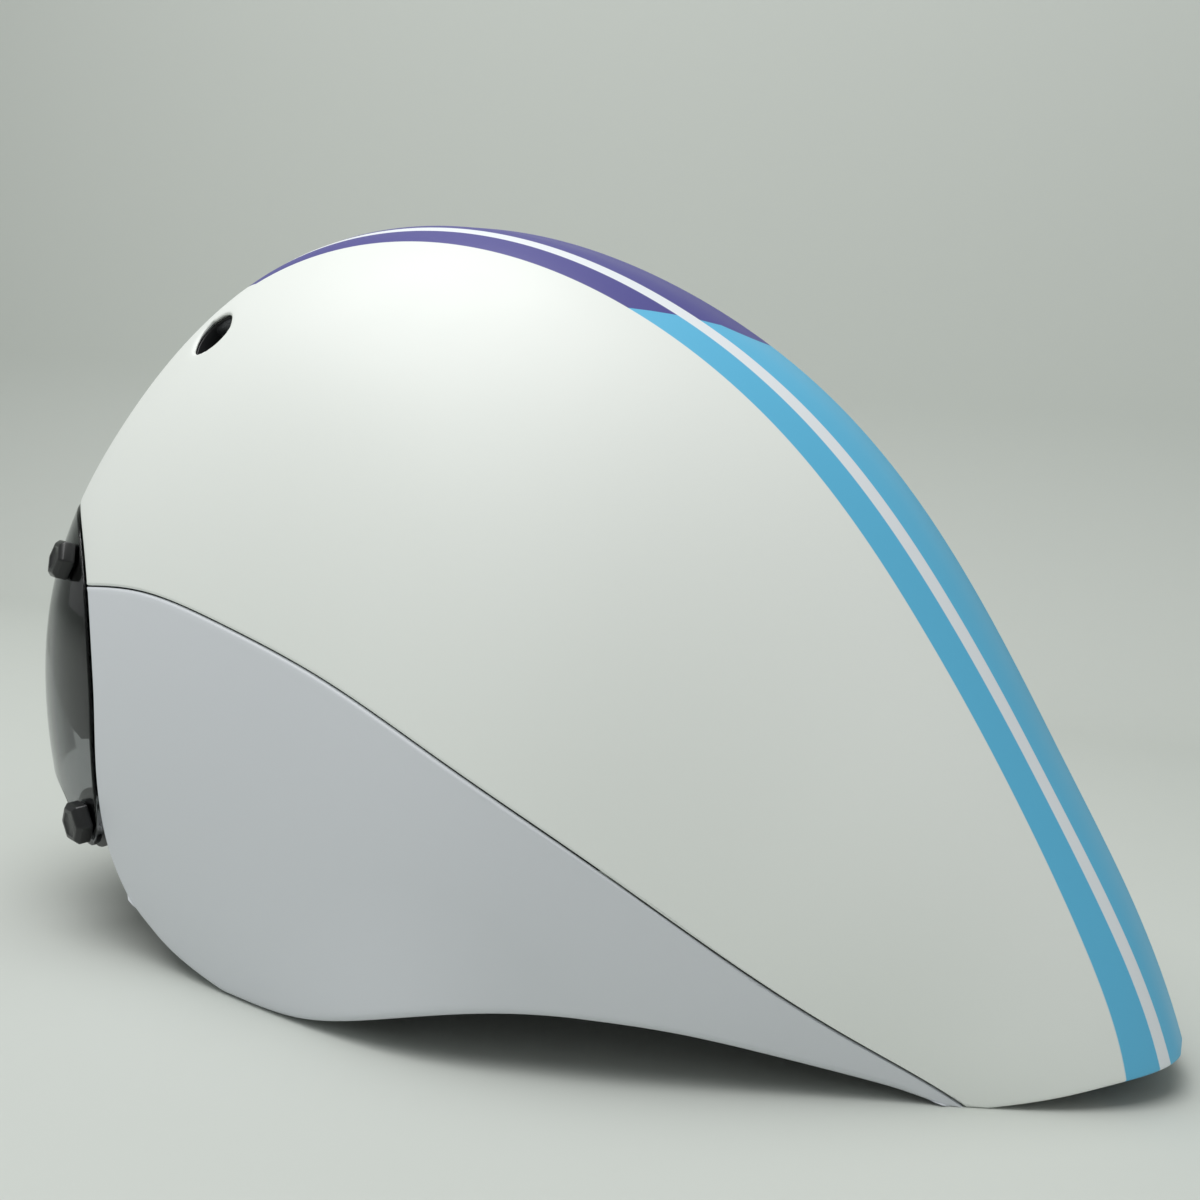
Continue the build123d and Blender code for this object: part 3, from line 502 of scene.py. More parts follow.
def rounded_outline(corners: Sequence[Sequence[float]], radius: float, steps: int = 5) -> Points:
    """Return a convex outline with round corners.

    Args:
        corners: its sharp corners, anticlockwise.
        radius: radius of each corner.
        steps: number of points round each corner, less one.

    Returns:
        The points of the outline.
    """
    corners = np.asarray(corners, float)
    outline = []
    for i, corner in enumerate(corners):
        after = corners[(i + 1) % len(corners)]
        centre, start, end = corner_arc(corners[i - 1], corner, after, radius)
        first = math.atan2(start[1], start[0])
        swing = (math.atan2(end[1], end[0]) - first) % (2 * math.pi)
        for k in range(steps + 1):
            turn = first + swing * k / steps
            outline.append(centre + radius * np.array([math.cos(turn), math.sin(turn)]))
    return np.array(outline)


def trapezoid(top: float, low: float, rise: float) -> list[tuple[float, float]]:
    """Return the corners of a trapezoid about its middle, anticlockwise."""
    return [(-low / 2, -rise / 2), (low / 2, -rise / 2), (top / 2, rise / 2), (-top / 2, rise / 2)]


def stack(rings: Sequence[Points]) -> Sheet:
    """Join closed rings of equal length into a closed form with flat ends."""
    count = len(rings[0])
    faces = grid_faces(len(rings), count, closed=True)
    faces.append(tuple(range(count))[::-1])
    faces.append(tuple(range((len(rings) - 1) * count, len(rings) * count)))
    return Sheet(np.concatenate(rings), faces)


def ribbon(path: Points, across: Points, width: float, wall: float, start: float = 0) -> Sheet:
    """Return a flat strap with round selvedges along a path.

    Args:
        path: its middle line in millimetres.
        across: the direction across it at each point.
        width: its width.
        wall: its thickness.
        start: the length already used, for the weave.

    Returns:
        The closed form, with its map for the weave.
    """
    run = unit(np.gradient(path, axis=0))
    across = unit(across - run * np.sum(across * run, axis=1, keepdims=True))
    up = np.cross(run, across)
    half, soft = width / 2, wall / 2
    edge = half - soft
    upper = [(x, soft) for x in (-edge, -half / 2, 0, half / 2, edge)]
    upper += [(edge + soft * math.cos(turn), soft * math.sin(turn))
              for turn in (math.pi / 4, 0, -math.pi / 4)]
    section = np.array(upper + [(-x, -z) for x, z in upper])
    rings = (path[:, None] + section[None, :, :1] * across[:, None]
             + section[None, :, 1:] * up[:, None])
    form = stack(list(rings))
    along = run_lengths(path) + start
    form.lie = points_at(np.repeat(along, len(section)), np.tile(section[:, 0], len(path)))
    return form


def rounded_run(corners: Sequence[Sequence[float]], radius: float, spacing: float = 1.5) -> Points:
    """Return a line through corners that are each turned on an arc.

    Args:
        corners: its corners in a plane.
        radius: radius of each turn.
        spacing: distance between the points returned.

    Returns:
        The points of the line.
    """
    corners = [np.asarray(corner, float) for corner in corners]
    line = [corners[0]]
    for before, corner, after in zip(corners, corners[1:], corners[2:]):
        centre, first, last = corner_arc(before, corner, after, radius)
        for share in np.linspace(0, 1, 9):
            line.append(centre + unit(first * (1 - share) + last * share) * radius)
    line.append(corners[-1])
    line = np.array(line)
    along = run_lengths(line)
    return resample(line, np.linspace(0, 1, max(int(along[-1] / spacing), 2)))


def placed(name: str, data: bpy.types.ID) -> Piece:
    """Add an object that holds a mesh, a lamp or a camera to the scene, and return it."""
    made = bpy.data.objects.new(name, data)
    bpy.context.scene.collection.objects.link(made)
    return made


def coat(mesh: Mesh, look: "Look | Finish") -> None:
    """Give a mesh one finish in place of what it has."""
    mesh.materials.clear()
    mesh.materials.append(look.material())


def merged_copy(node: str) -> Piece:
    """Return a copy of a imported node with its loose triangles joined."""
    form = bmesh.new()
    form.from_mesh(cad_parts[node].data)
    bmesh.ops.remove_doubles(form, verts=form.verts, dist=1e-6)
    mesh = bpy.data.meshes.new(f"{node}_copy")
    form.to_mesh(mesh)
    form.free()
    mesh.materials.clear()
    return placed(f"{node}_copy", mesh)


def settled(piece: Piece, name: str) -> Piece:
    """Turn a piece with its modifiers into a plain piece.

    Args:
        piece: the piece, which is removed.
        name: name of the plain one.

    Returns:
        The plain piece.
    """
    mesh = bpy.data.meshes.new_from_object(
        piece.evaluated_get(bpy.context.evaluated_depsgraph_get()))
    bpy.data.objects.remove(piece)
    mesh.name = name
    return placed(name, mesh)


def coordinates(mesh: Mesh) -> Points:
    """Return a mesh's points in millimetres."""
    values = np.empty(len(mesh.vertices) * 3)
    mesh.vertices.foreach_get("co", values)
    return values.reshape(-1, 3) / METRE


def point_normals(mesh: Mesh) -> Points:
    """Return a mesh's outward direction at each point."""
    values = np.empty(len(mesh.vertices) * 3, np.float32)
    mesh.vertex_normals.foreach_get("vector", values)
    return values.reshape(-1, 3).astype(float)


def move_points(mesh: Mesh, points: Points) -> None:
    """Put a mesh's points at places in millimetres."""
    mesh.vertices.foreach_set("co", (points * METRE).ravel())
    mesh.update()


# Repeated details --------------------------------------------------------------

def start_tree(name: str, sizes: Sequence[str]) -> tuple[Tree, Node]:
    """Start a Geometry Nodes tree.

    Args:
        name: name of the tree.
        sizes: the name of each size that it takes.

    Returns:
        The tree and the node that gives its inputs.
    """
    tree = bpy.data.node_groups.new(name, "GeometryNodeTree")
    tree.interface.new_socket("Geometry", in_out="OUTPUT", socket_type="NodeSocketGeometry")
    given = [("Geometry", "Geometry"), *((size, "Float") for size in sizes), ("Finish", "Material")]
    for label, kind in given:
        tree.interface.new_socket(label, in_out="INPUT", socket_type=f"NodeSocket{kind}")
    return tree, add_node(tree, "NodeGroupInput")


def end_tree(tree: Tree, given: Node, copies: Socket) -> None:
    """Make instances real, smooth and finished, and hand them out of a tree."""
    whole = add_node(tree, "GeometryNodeRealizeInstances", {0: copies})
    smooth = add_node(tree, "GeometryNodeSetShadeSmooth", {"Geometry": whole.outputs[0]})
    dressed = add_node(tree, "GeometryNodeSetMaterial", {
        "Geometry": smooth.outputs[0], "Material": given.outputs["Finish"]})
    add_node(tree, "NodeGroupOutput", {"Geometry": dressed.outputs[0]})


def stitch_tree() -> Tree:
    """Return the tree that lays a thread's stitches along lines.

    Each stitch is a rounded grain of the given length and thickness, one pitch apart.
    """
    known = bpy.data.node_groups.get("stitch rows")
    if known:
        return known
    tree, given = start_tree("stitch rows", ("Pitch", "Length", "Thread"))
    curve = add_node(tree, "GeometryNodeMeshToCurve", {"Mesh": given.outputs["Geometry"]})
    points = add_node(tree, "GeometryNodeCurveToPoints", {
        "Curve": curve.outputs["Curve"], "Length": given.outputs["Pitch"]}, mode="LENGTH")
    grain = add_node(tree, "GeometryNodeMeshUVSphere", {"Segments": 8, "Rings": 6, "Radius": 0.5})
    size = add_node(tree, "ShaderNodeCombineXYZ", {
        "X": given.outputs["Thread"], "Y": given.outputs["Thread"], "Z": given.outputs["Length"]})
    stitch = add_node(tree, "GeometryNodeTransform", {
        "Geometry": grain.outputs["Mesh"], "Scale": size.outputs["Vector"]})
    copies = add_node(tree, "GeometryNodeInstanceOnPoints", {
        "Points": points.outputs["Points"], "Instance": stitch.outputs["Geometry"],
        "Rotation": points.outputs["Rotation"]})
    end_tree(tree, given, copies.outputs["Instances"])
    return tree


def rib_tree() -> Tree:
    """Return the tree that stands rounded ribs at points.

    The points' "facing" and "along" say which way a rib stands and runs.
    """
    known = bpy.data.node_groups.get("moulded ribs")
    if known:
        return known
    tree, given = start_tree("moulded ribs", ("Length", "Width", "Height"))
    size = add_node(tree, "ShaderNodeCombineXYZ", {
        "X": given.outputs["Length"], "Y": given.outputs["Width"], "Z": given.outputs["Height"]})
    block = add_node(tree, "GeometryNodeMeshCube", {"Size": size.outputs["Vector"]})
    rounded = add_node(tree, "GeometryNodeSubdivisionSurface", {
        "Mesh": block.outputs["Mesh"], "Level": 2, "Edge Crease": 0.62})
    ways = [add_node(tree, "GeometryNodeInputNamedAttribute", {"Name": label},
                     data_type="FLOAT_VECTOR") for label in ("facing", "along")]
    turn = add_node(tree, "FunctionNodeAxesToRotation", {
        0: ways[0].outputs["Attribute"], 1: ways[1].outputs["Attribute"]},
        primary_axis="Z", secondary_axis="X")
    copies = add_node(tree, "GeometryNodeInstanceOnPoints", {
        "Points": given.outputs["Geometry"], "Instance": rounded.outputs["Mesh"],
        "Rotation": turn.outputs["Rotation"]})
    end_tree(tree, given, copies.outputs["Instances"])
    return tree


def grown(name: str, tree: Tree, points: Points, lines: Sequence[tuple[int, int]],
          ways: dict[str, Points], look: "Look", **sizes: float) -> Piece:
    """Run a tree over points and lines, and return what it makes as a plain piece.

    Args:
        name: name of the piece.
        tree: the Geometry Nodes tree.
        points: the points in millimetres.
        lines: the pairs of points that are joined.
        ways: directions at each point, by name.
        look: the finish.
        sizes: the tree's own sizes in millimetres.

    Returns:
        The new piece.
    """
    mesh = bpy.data.meshes.new(name)
    mesh.from_pydata((points * METRE).tolist(), list(lines), [])
    for label, rows in ways.items():
        mesh.attributes.new(label, "FLOAT_VECTOR", "POINT").data.foreach_set(
            "vector", np.asarray(rows, float).ravel())
    seed = placed(f"{name}_places", mesh)
    modifier = seed.modifiers.new(tree.name, "NODES")
    modifier.node_group = tree
    values = {"Finish": look.material(), **{label: size * METRE for label, size in sizes.items()}}
    for socket in tree.interface.items_tree:
        if socket.name in values and socket.in_out == "INPUT":
            modifier[socket.identifier] = values[socket.name]
    return settled(seed, name)


def stitch_rows(name: str, rows: Sequence[Points], pitch: float = 3.0, length: float = 2.3,
                thread: float = 0.42) -> Piece:
    """Return stitches along rows.

    Args:
        name: name of the piece.
        rows: the lines that the stitches follow.
        pitch: distance from one stitch to the next.
        length: length of a stitch.
        thread: thickness of the thread.

    Returns:
        The new piece.
    """
    points, lines = [], []
    for row in rows:
        lines += [(len(points) + i, len(points) + i + 1) for i in range(len(row) - 1)]
        points += list(row)
    return grown(name, stitch_tree(), np.array(points), lines, {}, Look.THREAD,
                 Pitch=pitch, Length=length, Thread=thread)


def moulded_ribs(name: str, points: Points, facing: Sequence[float], along: Sequence[float],
                 size: tuple[float, float, float], look: "Look") -> Piece:
    """Return rounded ribs at points.

    Args:
        name: name of the piece.
        points: the middle of each rib.
        facing: the way that they stand, or that each one stands.
        along: the way that they run.
        size: length, width and height of a rib.
        look: the finish.

    Returns:
        The new piece.
    """
    facing, along = (np.broadcast_to(way, points.shape) for way in (facing, along))
    return grown(name, rib_tree(), points, [], {"facing": facing, "along": along}, look,
                 Length=size[0], Width=size[1], Height=size[2])


# Materials ---------------------------------------------------------------------

def linear(code: str, alpha: float = 1.0) -> tuple[float, float, float, float]:
    """Turn an sRGB hex code into linear colour."""
    parts = [int(code[i:i + 2], 16) / 255 for i in (1, 3, 5)]
    return (*(c / 12.92 if c <= 0.04045 else ((c + 0.055) / 1.055) ** 2.4 for c in parts), alpha)


def add_node(tree: Tree, kind: str, inputs: dict | None = None, **settings: object) -> Node:
    """Add a node with its settings, and link or set its inputs.

    Args:
        tree: the node tree.
        kind: the node's type.
        inputs: a value or an output socket for each input, by name or number.
        settings: the node's own properties.

    Returns:
        The new node.
    """
    node = tree.nodes.new(kind)
    for name, value in settings.items():
        setattr(node, name, value)
    for name, value in (inputs or {}).items():
        if isinstance(value, Socket):
            tree.links.new(value, node.inputs[name])
        else:
            node.inputs[name].default_value = value
    return node


def shade(code: str, factor: float, lift: float = 0.0) -> tuple[float, float, float, float]:
    """Turn an sRGB hex code into linear colour that is made lighter or darker."""
    return (*(min(c * factor + lift, 1.0) for c in linear(code)[:3]), 1.0)


@dataclass(frozen=True)
class Finish:
    """A surface finish.

    Args:
        name: the finish in plain words.
        colour: its sRGB colour.
        roughness: how far it scatters a reflection.
    """

    name: str
    colour: str
    roughness: float

    def cloudy_gloss(self, tree: Tree, place: Socket, scale: float, detail: float,
                     below: float, above: float) -> tuple[Socket, Socket]:
        """Return a cloudy pattern, and a roughness that it makes uneven.

        Args:
            tree: the node tree.
            place: the places in millimetres.
            scale: clouds to a millimetre.
            detail: how many finer patterns it holds.
            below: the most that it takes off the roughness.
            above: the most that it adds to the roughness.

        Returns:
            The pattern's socket and the roughness's socket.
        """
        cloud = add_node(tree, "ShaderNodeTexNoise", {
            "Vector": place, "Scale": scale, "Detail": detail})
        gloss = add_node(tree, "ShaderNodeMapRange", {
            "Value": cloud.outputs["Fac"], "To Min": self.roughness - below,
            "To Max": self.roughness + above})
        return cloud.outputs["Fac"], gloss.outputs["Result"]

    def surface(self, tree: Tree, height: Socket, depth: float, strength: float,
                **inputs: object) -> Node:
        """Add a raised pattern and the shader that shows it.

        Args:
            tree: the node tree.
            height: the pattern's socket.
            depth: its depth in millimetres.
            strength: how strongly it shows.
            inputs: the shader's other inputs, with "_" for a space.

        Returns:
            The shader.
        """
        bump = add_node(tree, "ShaderNodeBump", {
            "Height": height, "Distance": depth * METRE, "Strength": strength})
        whole = {"Base_Color": linear(self.colour), "Roughness": self.roughness, **inputs}
        return add_node(tree, "ShaderNodeBsdfPrincipled", {
            "Normal": bump.outputs["Normal"],
            **{name.replace("_", " "): value for name, value in whole.items()}})

    def shader(self, tree: Tree, place: Socket) -> Node:
        """Add the nodes of the finish and return its shader. Places are in millimetres."""
        return add_node(tree, "ShaderNodeBsdfPrincipled", {
            "Base Color": linear(self.colour), "Roughness": self.roughness})

    def material(self) -> bpy.types.Material:
        """Return the material, made when it is first asked for."""
        known = bpy.data.materials.get(self.name)
        if known:
            return known
        made = bpy.data.materials.new(self.name)
        made.use_nodes = True
        tree = made.node_tree
        tree.nodes.clear()
        coordinates = add_node(tree, "ShaderNodeTexCoord")
        place = add_node(tree, "ShaderNodeVectorMath", {
            0: coordinates.outputs["Object"], "Scale": 1 / METRE}, operation="SCALE")
        shader = self.shader(tree, place.outputs["Vector"])
        add_node(tree, "ShaderNodeOutputMaterial", {"Surface": shader.outputs[0]})
        return made


@dataclass(frozen=True)
class SatinPaint(Finish):
    """Two-pack paint over a thermoformed shell, sprayed and rubbed to satin.

    It shows a faint orange peel about 1.6 mm across and slightly uneven gloss.
    """

    peel: float = 1.6
    peel_depth: float = 0.006

    def colour_socket(self, tree: Tree, place: Socket) -> Socket:
        """Return the socket that holds the paint's colour."""
        cloud = add_node(tree, "ShaderNodeTexNoise", {
            "Vector": place, "Scale": 0.012, "Detail": 2.0})
        tone = add_node(tree, "ShaderNodeMix", {
            "Factor": cloud.outputs["Fac"], "A": linear(self.colour),
            "B": shade(self.colour, 0.975)}, data_type="RGBA")
        return tone.outputs[2]

    def shader(self, tree: Tree, place: Socket) -> Node:
        """Add the nodes of the paint and return its shader."""
        peel = add_node(tree, "ShaderNodeTexNoise", {
            "Vector": place, "Scale": 1 / self.peel, "Detail": 1.0})
        _, gloss = self.cloudy_gloss(tree, place, 0.05, 3.0, 0.04, 0.05)
        return self.surface(tree, peel.outputs["Fac"], self.peel_depth, 1.0,
                            Base_Color=self.colour_socket(tree, place), Roughness=gloss, IOR=1.5)


@dataclass(frozen=True)
class StripedPaint(SatinPaint):
    """Satin paint with three bands along the crest, masked and sprayed.

    The bands are violet over the crown and light blue from a curved chevron to the
    tail, split by two thin white lines. Distances are to each side of the middle.
    """

    crown_colour: str = "#4A4691"
    tail_colour: str = "#5FBDE6"
    line_colour: str = "#EDF1F6"
    line_inner: float = 19.0
    line_outer: float = 23.3
    band_outer: float = 31.9
    mask_blur: float = 0.15
    chevron_x: float = 57.0
    chevron_slope: float = -0.65
    chevron_bend: float = -0.0145
    start_x: float = -126.0
    start_bend: float = 0.022

    def colour_socket(self, tree: Tree, place: Socket) -> Socket:
        """Return the socket that holds the white, the lines and the bands."""
        parts = add_node(tree, "ShaderNodeSeparateXYZ", {0: place})
        across = add_node(tree, "ShaderNodeMath", {0: parts.outputs["Y"]}, operation="ABSOLUTE")
        square = add_node(tree, "ShaderNodeMath", {
            0: across.outputs[0], 1: across.outputs[0]}, operation="MULTIPLY")

        def beyond(value: Socket, edge: float) -> Socket:
            """Return a socket that is 1 where a value is past an edge."""
            step = add_node(tree, "ShaderNodeMapRange", {
                "Value": value, "From Min": edge - self.mask_blur,
                "From Max": edge + self.mask_blur}, interpolation_type="SMOOTHSTEP")
            return step.outputs["Result"]

        bent, start = (add_node(tree, "ShaderNodeMath", {
            0: square.outputs[0], 1: -bend, 2: parts.outputs["X"]}, operation="MULTIPLY_ADD")
            for bend in (self.chevron_bend, self.start_bend))
        chevron = add_node(tree, "ShaderNodeMath", {
            0: across.outputs[0], 1: -self.chevron_slope, 2: bent.outputs[0]},
            operation="MULTIPLY_ADD")
        band = add_node(tree, "ShaderNodeMix", {
            "Factor": beyond(chevron.outputs[0], self.chevron_x), "A": linear(self.crown_colour),
            "B": linear(self.tail_colour)}, data_type="RGBA")
        inner = beyond(across.outputs[0], self.line_inner)
        outer = beyond(across.outputs[0], self.line_outer)
        line = add_node(tree, "ShaderNodeMath", {0: inner, 1: outer}, operation="SUBTRACT")
        lined = add_node(tree, "ShaderNodeMix", {
            "Factor": line.outputs[0], "A": band.outputs[2], "B": linear(self.line_colour)},
            data_type="RGBA")
        beside = add_node(tree, "ShaderNodeMix", {
            "Factor": beyond(across.outputs[0], self.band_outer), "A": lined.outputs[2],
            "B": SatinPaint.colour_socket(self, tree, place)}, data_type="RGBA")
        whole = add_node(tree, "ShaderNodeMix", {
            "Factor": beyond(start.outputs[0], self.start_x),
            "A": SatinPaint.colour_socket(self, tree, place), "B": beside.outputs[2]},
            data_type="RGBA")
        return whole.outputs[2]


@dataclass(frozen=True)
class SmokedPlastic(Finish):
    """Polycarbonate sheet with a smoke dye, moulded clear and coated against glare."""

    def shader(self, tree: Tree, place: Socket) -> Node:
        """Add the nodes of the lens and return its shader."""
        _, gloss = self.cloudy_gloss(tree, place, 0.08, 4.0, 0.0, 0.05)
        return add_node(tree, "ShaderNodeBsdfPrincipled", {
            "Base Color": linear(self.colour), "Roughness": gloss, "Transmission Weight": 1.0,
            "IOR": 1.34})


@dataclass(frozen=True)
class MouldedPlastic(Finish):
    """Injection-moulded nylon from a spark-eroded tool.

    The tool's grain is about 0.1 mm and is drawn at 0.5 mm, so that it shows.
    """

    grain: float = 0.5
    grain_depth: float = 0.03

    def shader(self, tree: Tree, place: Socket) -> Node:
        """Add the nodes of the plastic and return its shader."""
        grain = add_node(tree, "ShaderNodeTexNoise", {
            "Vector": place, "Scale": 1 / self.grain, "Detail": 2.0})
        wear, gloss = self.cloudy_gloss(tree, place, 0.11, 4.0, 0.06, 0.08)
        tone = add_node(tree, "ShaderNodeMix", {
            "Factor": wear, "A": linear(self.colour), "B": shade(self.colour, 1.5, 0.003)},
            data_type="RGBA")
        return self.surface(tree, grain.outputs["Fac"], self.grain_depth, 0.7,
                            Base_Color=tone.outputs[2], Roughness=gloss, IOR=1.53)


@dataclass(frozen=True)
class BeadFoam(Finish):
    """Expanded polystyrene, steam-moulded: 3.2 mm beads pressed flat, with dark joints."""

    bead: float = 3.2
    bead_depth: float = 0.16

    def shader(self, tree: Tree, place: Socket) -> Node:
        """Add the nodes of the foam and return its shader."""
        beads = add_node(tree, "ShaderNodeTexVoronoi", {
            "Vector": place, "Scale": 1 / self.bead}, feature="DISTANCE_TO_EDGE")
        tints = add_node(tree, "ShaderNodeTexVoronoi", {"Vector": place, "Scale": 1 / self.bead})
        joint = add_node(tree, "ShaderNodeMapRange", {
            "Value": beads.outputs["Distance"], "From Max": 0.09}, interpolation_type="SMOOTHSTEP")
        tint = add_node(tree, "ShaderNodeMix", {
            "Factor": tints.outputs["Color"], "A": linear(self.colour),
            "B": shade(self.colour, 1.35)}, data_type="RGBA")
        tone = add_node(tree, "ShaderNodeMix", {
            "Factor": joint.outputs["Result"], "A": shade(self.colour, 0.5), "B": tint.outputs[2]},
            data_type="RGBA")
        return self.surface(tree, joint.outputs["Result"], self.bead_depth, 0.8,
                            Base_Color=tone.outputs[2])


@dataclass(frozen=True)
class BrushedKnit(Finish):
    """Polyester knit bonded to foam and brushed: 0.9 mm loops with a soft nap."""

    loop: float = 0.9
    loop_depth: float = 0.12

    def shader(self, tree: Tree, place: Socket) -> Node:
        """Add the nodes of the knit, its painted light and shade, and return its shader."""
        loops = add_node(tree, "ShaderNodeTexVoronoi", {
            "Vector": place, "Scale": 1 / self.loop, "Randomness": 0.55})
        nap = add_node(tree, "ShaderNodeTexNoise", {"Vector": place, "Scale": 0.35, "Detail": 5.0})
        height = add_node(tree, "ShaderNodeMath", {
            0: loops.outputs["Distance"], 1: -1.0, 2: nap.outputs["Fac"]}, operation="MULTIPLY_ADD")
        # painted highlight and shade: the colour is lighter on the loops' tops and darker between
        # them
        tone = add_node(tree, "ShaderNodeMix", {
            "Factor": loops.outputs["Distance"], "A": shade(self.colour, 1.6),
            "B": shade(self.colour, 0.5)}, data_type="RGBA")
        return self.surface(tree, height.outputs[0], self.loop_depth, 0.9,
                            Base_Color=tone.outputs[2], Sheen_Weight=0.35, Sheen_Roughness=0.45)


@dataclass(frozen=True)
class WovenWebbing(Finish):
    """Polyester webbing, woven flat in 1.3 mm ribs across and 0.9 mm yarns along.

    It reads the strap's own map: millimetres along it, and across it.
    """

    rib: float = 1.3
    yarn: float = 0.9
    weave_depth: float = 0.16

    def shader(self, tree: Tree, place: Socket) -> Node:
        """Add the nodes of the webbing, its painted light and shade, and return its shader."""
        lie = add_node(tree, "ShaderNodeUVMap", uv_map="lie")
        parts = add_node(tree, "ShaderNodeSeparateXYZ", {0: lie.outputs["UV"]})
        waves = []
        for part, pitch in (("X", self.rib), ("Y", self.yarn)):
            turn = add_node(tree, "ShaderNodeMath", {
                0: parts.outputs[part], 1: 2 * math.pi / pitch}, operation="MULTIPLY")
            waves.append(add_node(tree, "ShaderNodeMath", {0: turn.outputs[0]}, operation="SINE"))
        weave = add_node(tree, "ShaderNodeMath", {
            0: waves[0].outputs[0], 1: waves[1].outputs[0]}, operation="MULTIPLY")
        fuzz = add_node(tree, "ShaderNodeTexNoise", {"Vector": place, "Scale": 2.2, "Detail": 3.0})
        height = add_node(tree, "ShaderNodeMath", {
            0: fuzz.outputs["Fac"], 1: 0.6, 2: weave.outputs[0]}, operation="MULTIPLY_ADD")
        # painted highlight and shade: the colour is lighter on the raised weave and darker in its
        # hollows
        painted_weave_light = add_node(tree, "ShaderNodeMapRange", {"Value": weave.outputs[0], "From Min": -1.0})
        tone = add_node(tree, "ShaderNodeMix", {
            "Factor": painted_weave_light.outputs["Result"], "A": shade(self.colour, 0.45),
            "B": shade(self.colour, 1.7)}, data_type="RGBA")
        return self.surface(tree, height.outputs[0], self.weave_depth, 0.8,
                            Base_Color=tone.outputs[2], Sheen_Weight=0.2, Sheen_Roughness=0.4)


@dataclass(frozen=True)
class SewingThread(Finish):
    """Twisted polyester thread, with plies drawn 0.35 mm apart."""

    ply: float = 0.35
    ply_depth: float = 0.05

    def shader(self, tree: Tree, place: Socket) -> Node:
        """Add the nodes of the thread and return its shader."""
        plies = add_node(tree, "ShaderNodeTexNoise", {"Vector": place, "Scale": 1 / self.ply})
        return self.surface(tree, plies.outputs["Fac"], self.ply_depth, 0.8, Sheen_Weight=0.2,
                            Sheen_Roughness=0.4)


@dataclass(frozen=True)
class Metal(Finish):
    """Metal with fine marks left by rolling or plating, 0.4 mm apart."""

    marks: float = 0.4

    def shader(self, tree: Tree, place: Socket) -> Node:
        """Add the nodes of the metal and return its shader."""
        _, gloss = self.cloudy_gloss(tree, place, 1 / self.marks, 2.0, 0.08, 0.1)
        return add_node(tree, "ShaderNodeBsdfPrincipled", {
            "Base Color": linear(self.colour), "Metallic": 1.0, "Roughness": gloss})


class Look(Enum):
    """The finishes of the helmet."""

    SHELL = StripedPaint("satin white paint with crest bands", "#F1F4F0", 0.46)
    PANEL = SatinPaint("satin cool white paint", "#D8DBE0", 0.46)
    LENS = SmokedPlastic("smoked polycarbonate", "#7C7E81", 0.03)
    TINT = SmokedPlastic("dark smoked polycarbonate", "#1E1D20", 0.03)
    BLACK = MouldedPlastic("black moulded nylon", "#17181A", 0.42)
    GLOSSY = MouldedPlastic("black moulded acetal", "#0C0D0E", 0.3, 0.6, 0.008)
    GREY = MouldedPlastic("grey moulded nylon", "#4A4D50", 0.48)
    BELT = MouldedPlastic("dark grey moulded nylon", "#2C2E30", 0.5)
    FOAM = BeadFoam("black expanded polystyrene", "#25272A", 0.62)
    PAD = BrushedKnit("black brushed knit", "#1D1E21", 0.85)
    WEBBING = WovenWebbing("black polyester webbing", "#1B1C1E", 0.62)
    THREAD = SewingThread("black polyester thread", "#2B2D30", 0.6)
    RUBBER = MouldedPlastic("black moulded rubber", "#1A1A1B", 0.68, 0.8, 0.04)
    MAGNET = Metal("nickel-plated magnet", "#C9C8C3", 0.22)
    STEEL = Metal("rolled spring steel", "#B9BBBD", 0.3)

    def material(self) -> bpy.types.Material:
        """Return the finish's material."""
        return self.value.material()


# The helmet --------------------------------------------------------------------

def install(piece: Piece, body: str, slot: str, *nodes: str) -> Piece:
    """Let a piece ride on a body in place of nodes, and report it.

    Args:
        piece: the new piece.
        body: the body that it moves with.
        slot: the record's material slot; not used.
        nodes: the nodes that it stands for.

    Returns:
        The piece.
    """
    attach(piece, body)
    if nodes:
        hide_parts(*nodes)
    LOG.info("%s: %d faces on %s", piece.name, len(piece.data.polygons), body)
    return piece


def dress(node: str, look: Look) -> None:
    """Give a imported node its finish."""
    coat(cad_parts[node].data, look)
    LOG.info("%s: %s", node, look.value.name)


def rib_row(name: str, body: str, start: Sequence[float], step: Sequence[float], count: int,
            facing: Sequence[float], size: tuple[float, float, float],
            along: Sequence[float] = BACK) -> None:
    """Add a row of black moulded ribs.

    Args:
        name: name of the piece.
        body: the body that it moves with.
        start: the middle of the first rib.
        step: the way from one rib to the next.
        count: number of ribs.
        facing: the way that they stand.
        size: length, width and height of a rib.
        along: the way that they run.
    """
    places = np.array(start) + np.arange(count)[:, None] * np.array(step)
    install(moulded_ribs(name, places, facing, along, size, Look.BLACK), body, "black_plastic")


@dataclass(frozen=True)
class RimLines:
    """The rim and the seam in side view, as shares of the length and the height."""

    front: tuple = (
        (-.560, .606), (-.491, .590), (-.427, .565), (-.391, .514), (-.372, .464), (-.354, .389),
        (-.344, .326), (-.339, .263), (-.333, .196), (-.316, .121), (-.297, .084), (-.266, .042),
        (-.230, .017), (-.186, .0))
    belly: tuple = ((-.147, 0), (-.111, .004), (-.039, .034), (.034, .063), (.101, .071),
                    (.173, .063), (.251, .038), (.328, .009), (.350, 0))
    tail: tuple = ((.376, 0), (.422, .016), (.455, .030), (.500, .043), (.560, .055))
    seam: tuple = ((-.420, .462), (-.370, .472), (-.295, .479), (-.199, .456), (-.104, .414),
                   (-.003, .343), (.085, .268), (.181, .171), (.287, .067), (.357, .003),
                   (.385, -.028))

    def crest_cut(self, line: Points, inset: float = 0) -> Points:
        """Cut a side-view line where it meets the spine, and return the part below it."""
        over = HULL.over(line, inset) > 1
        if over[0]:
            first = int(np.argmin(over))
            return line[first:]
        last = int(np.argmax(over)) if over.any() else len(line)
        return line[:last]


RIM = RimLines()


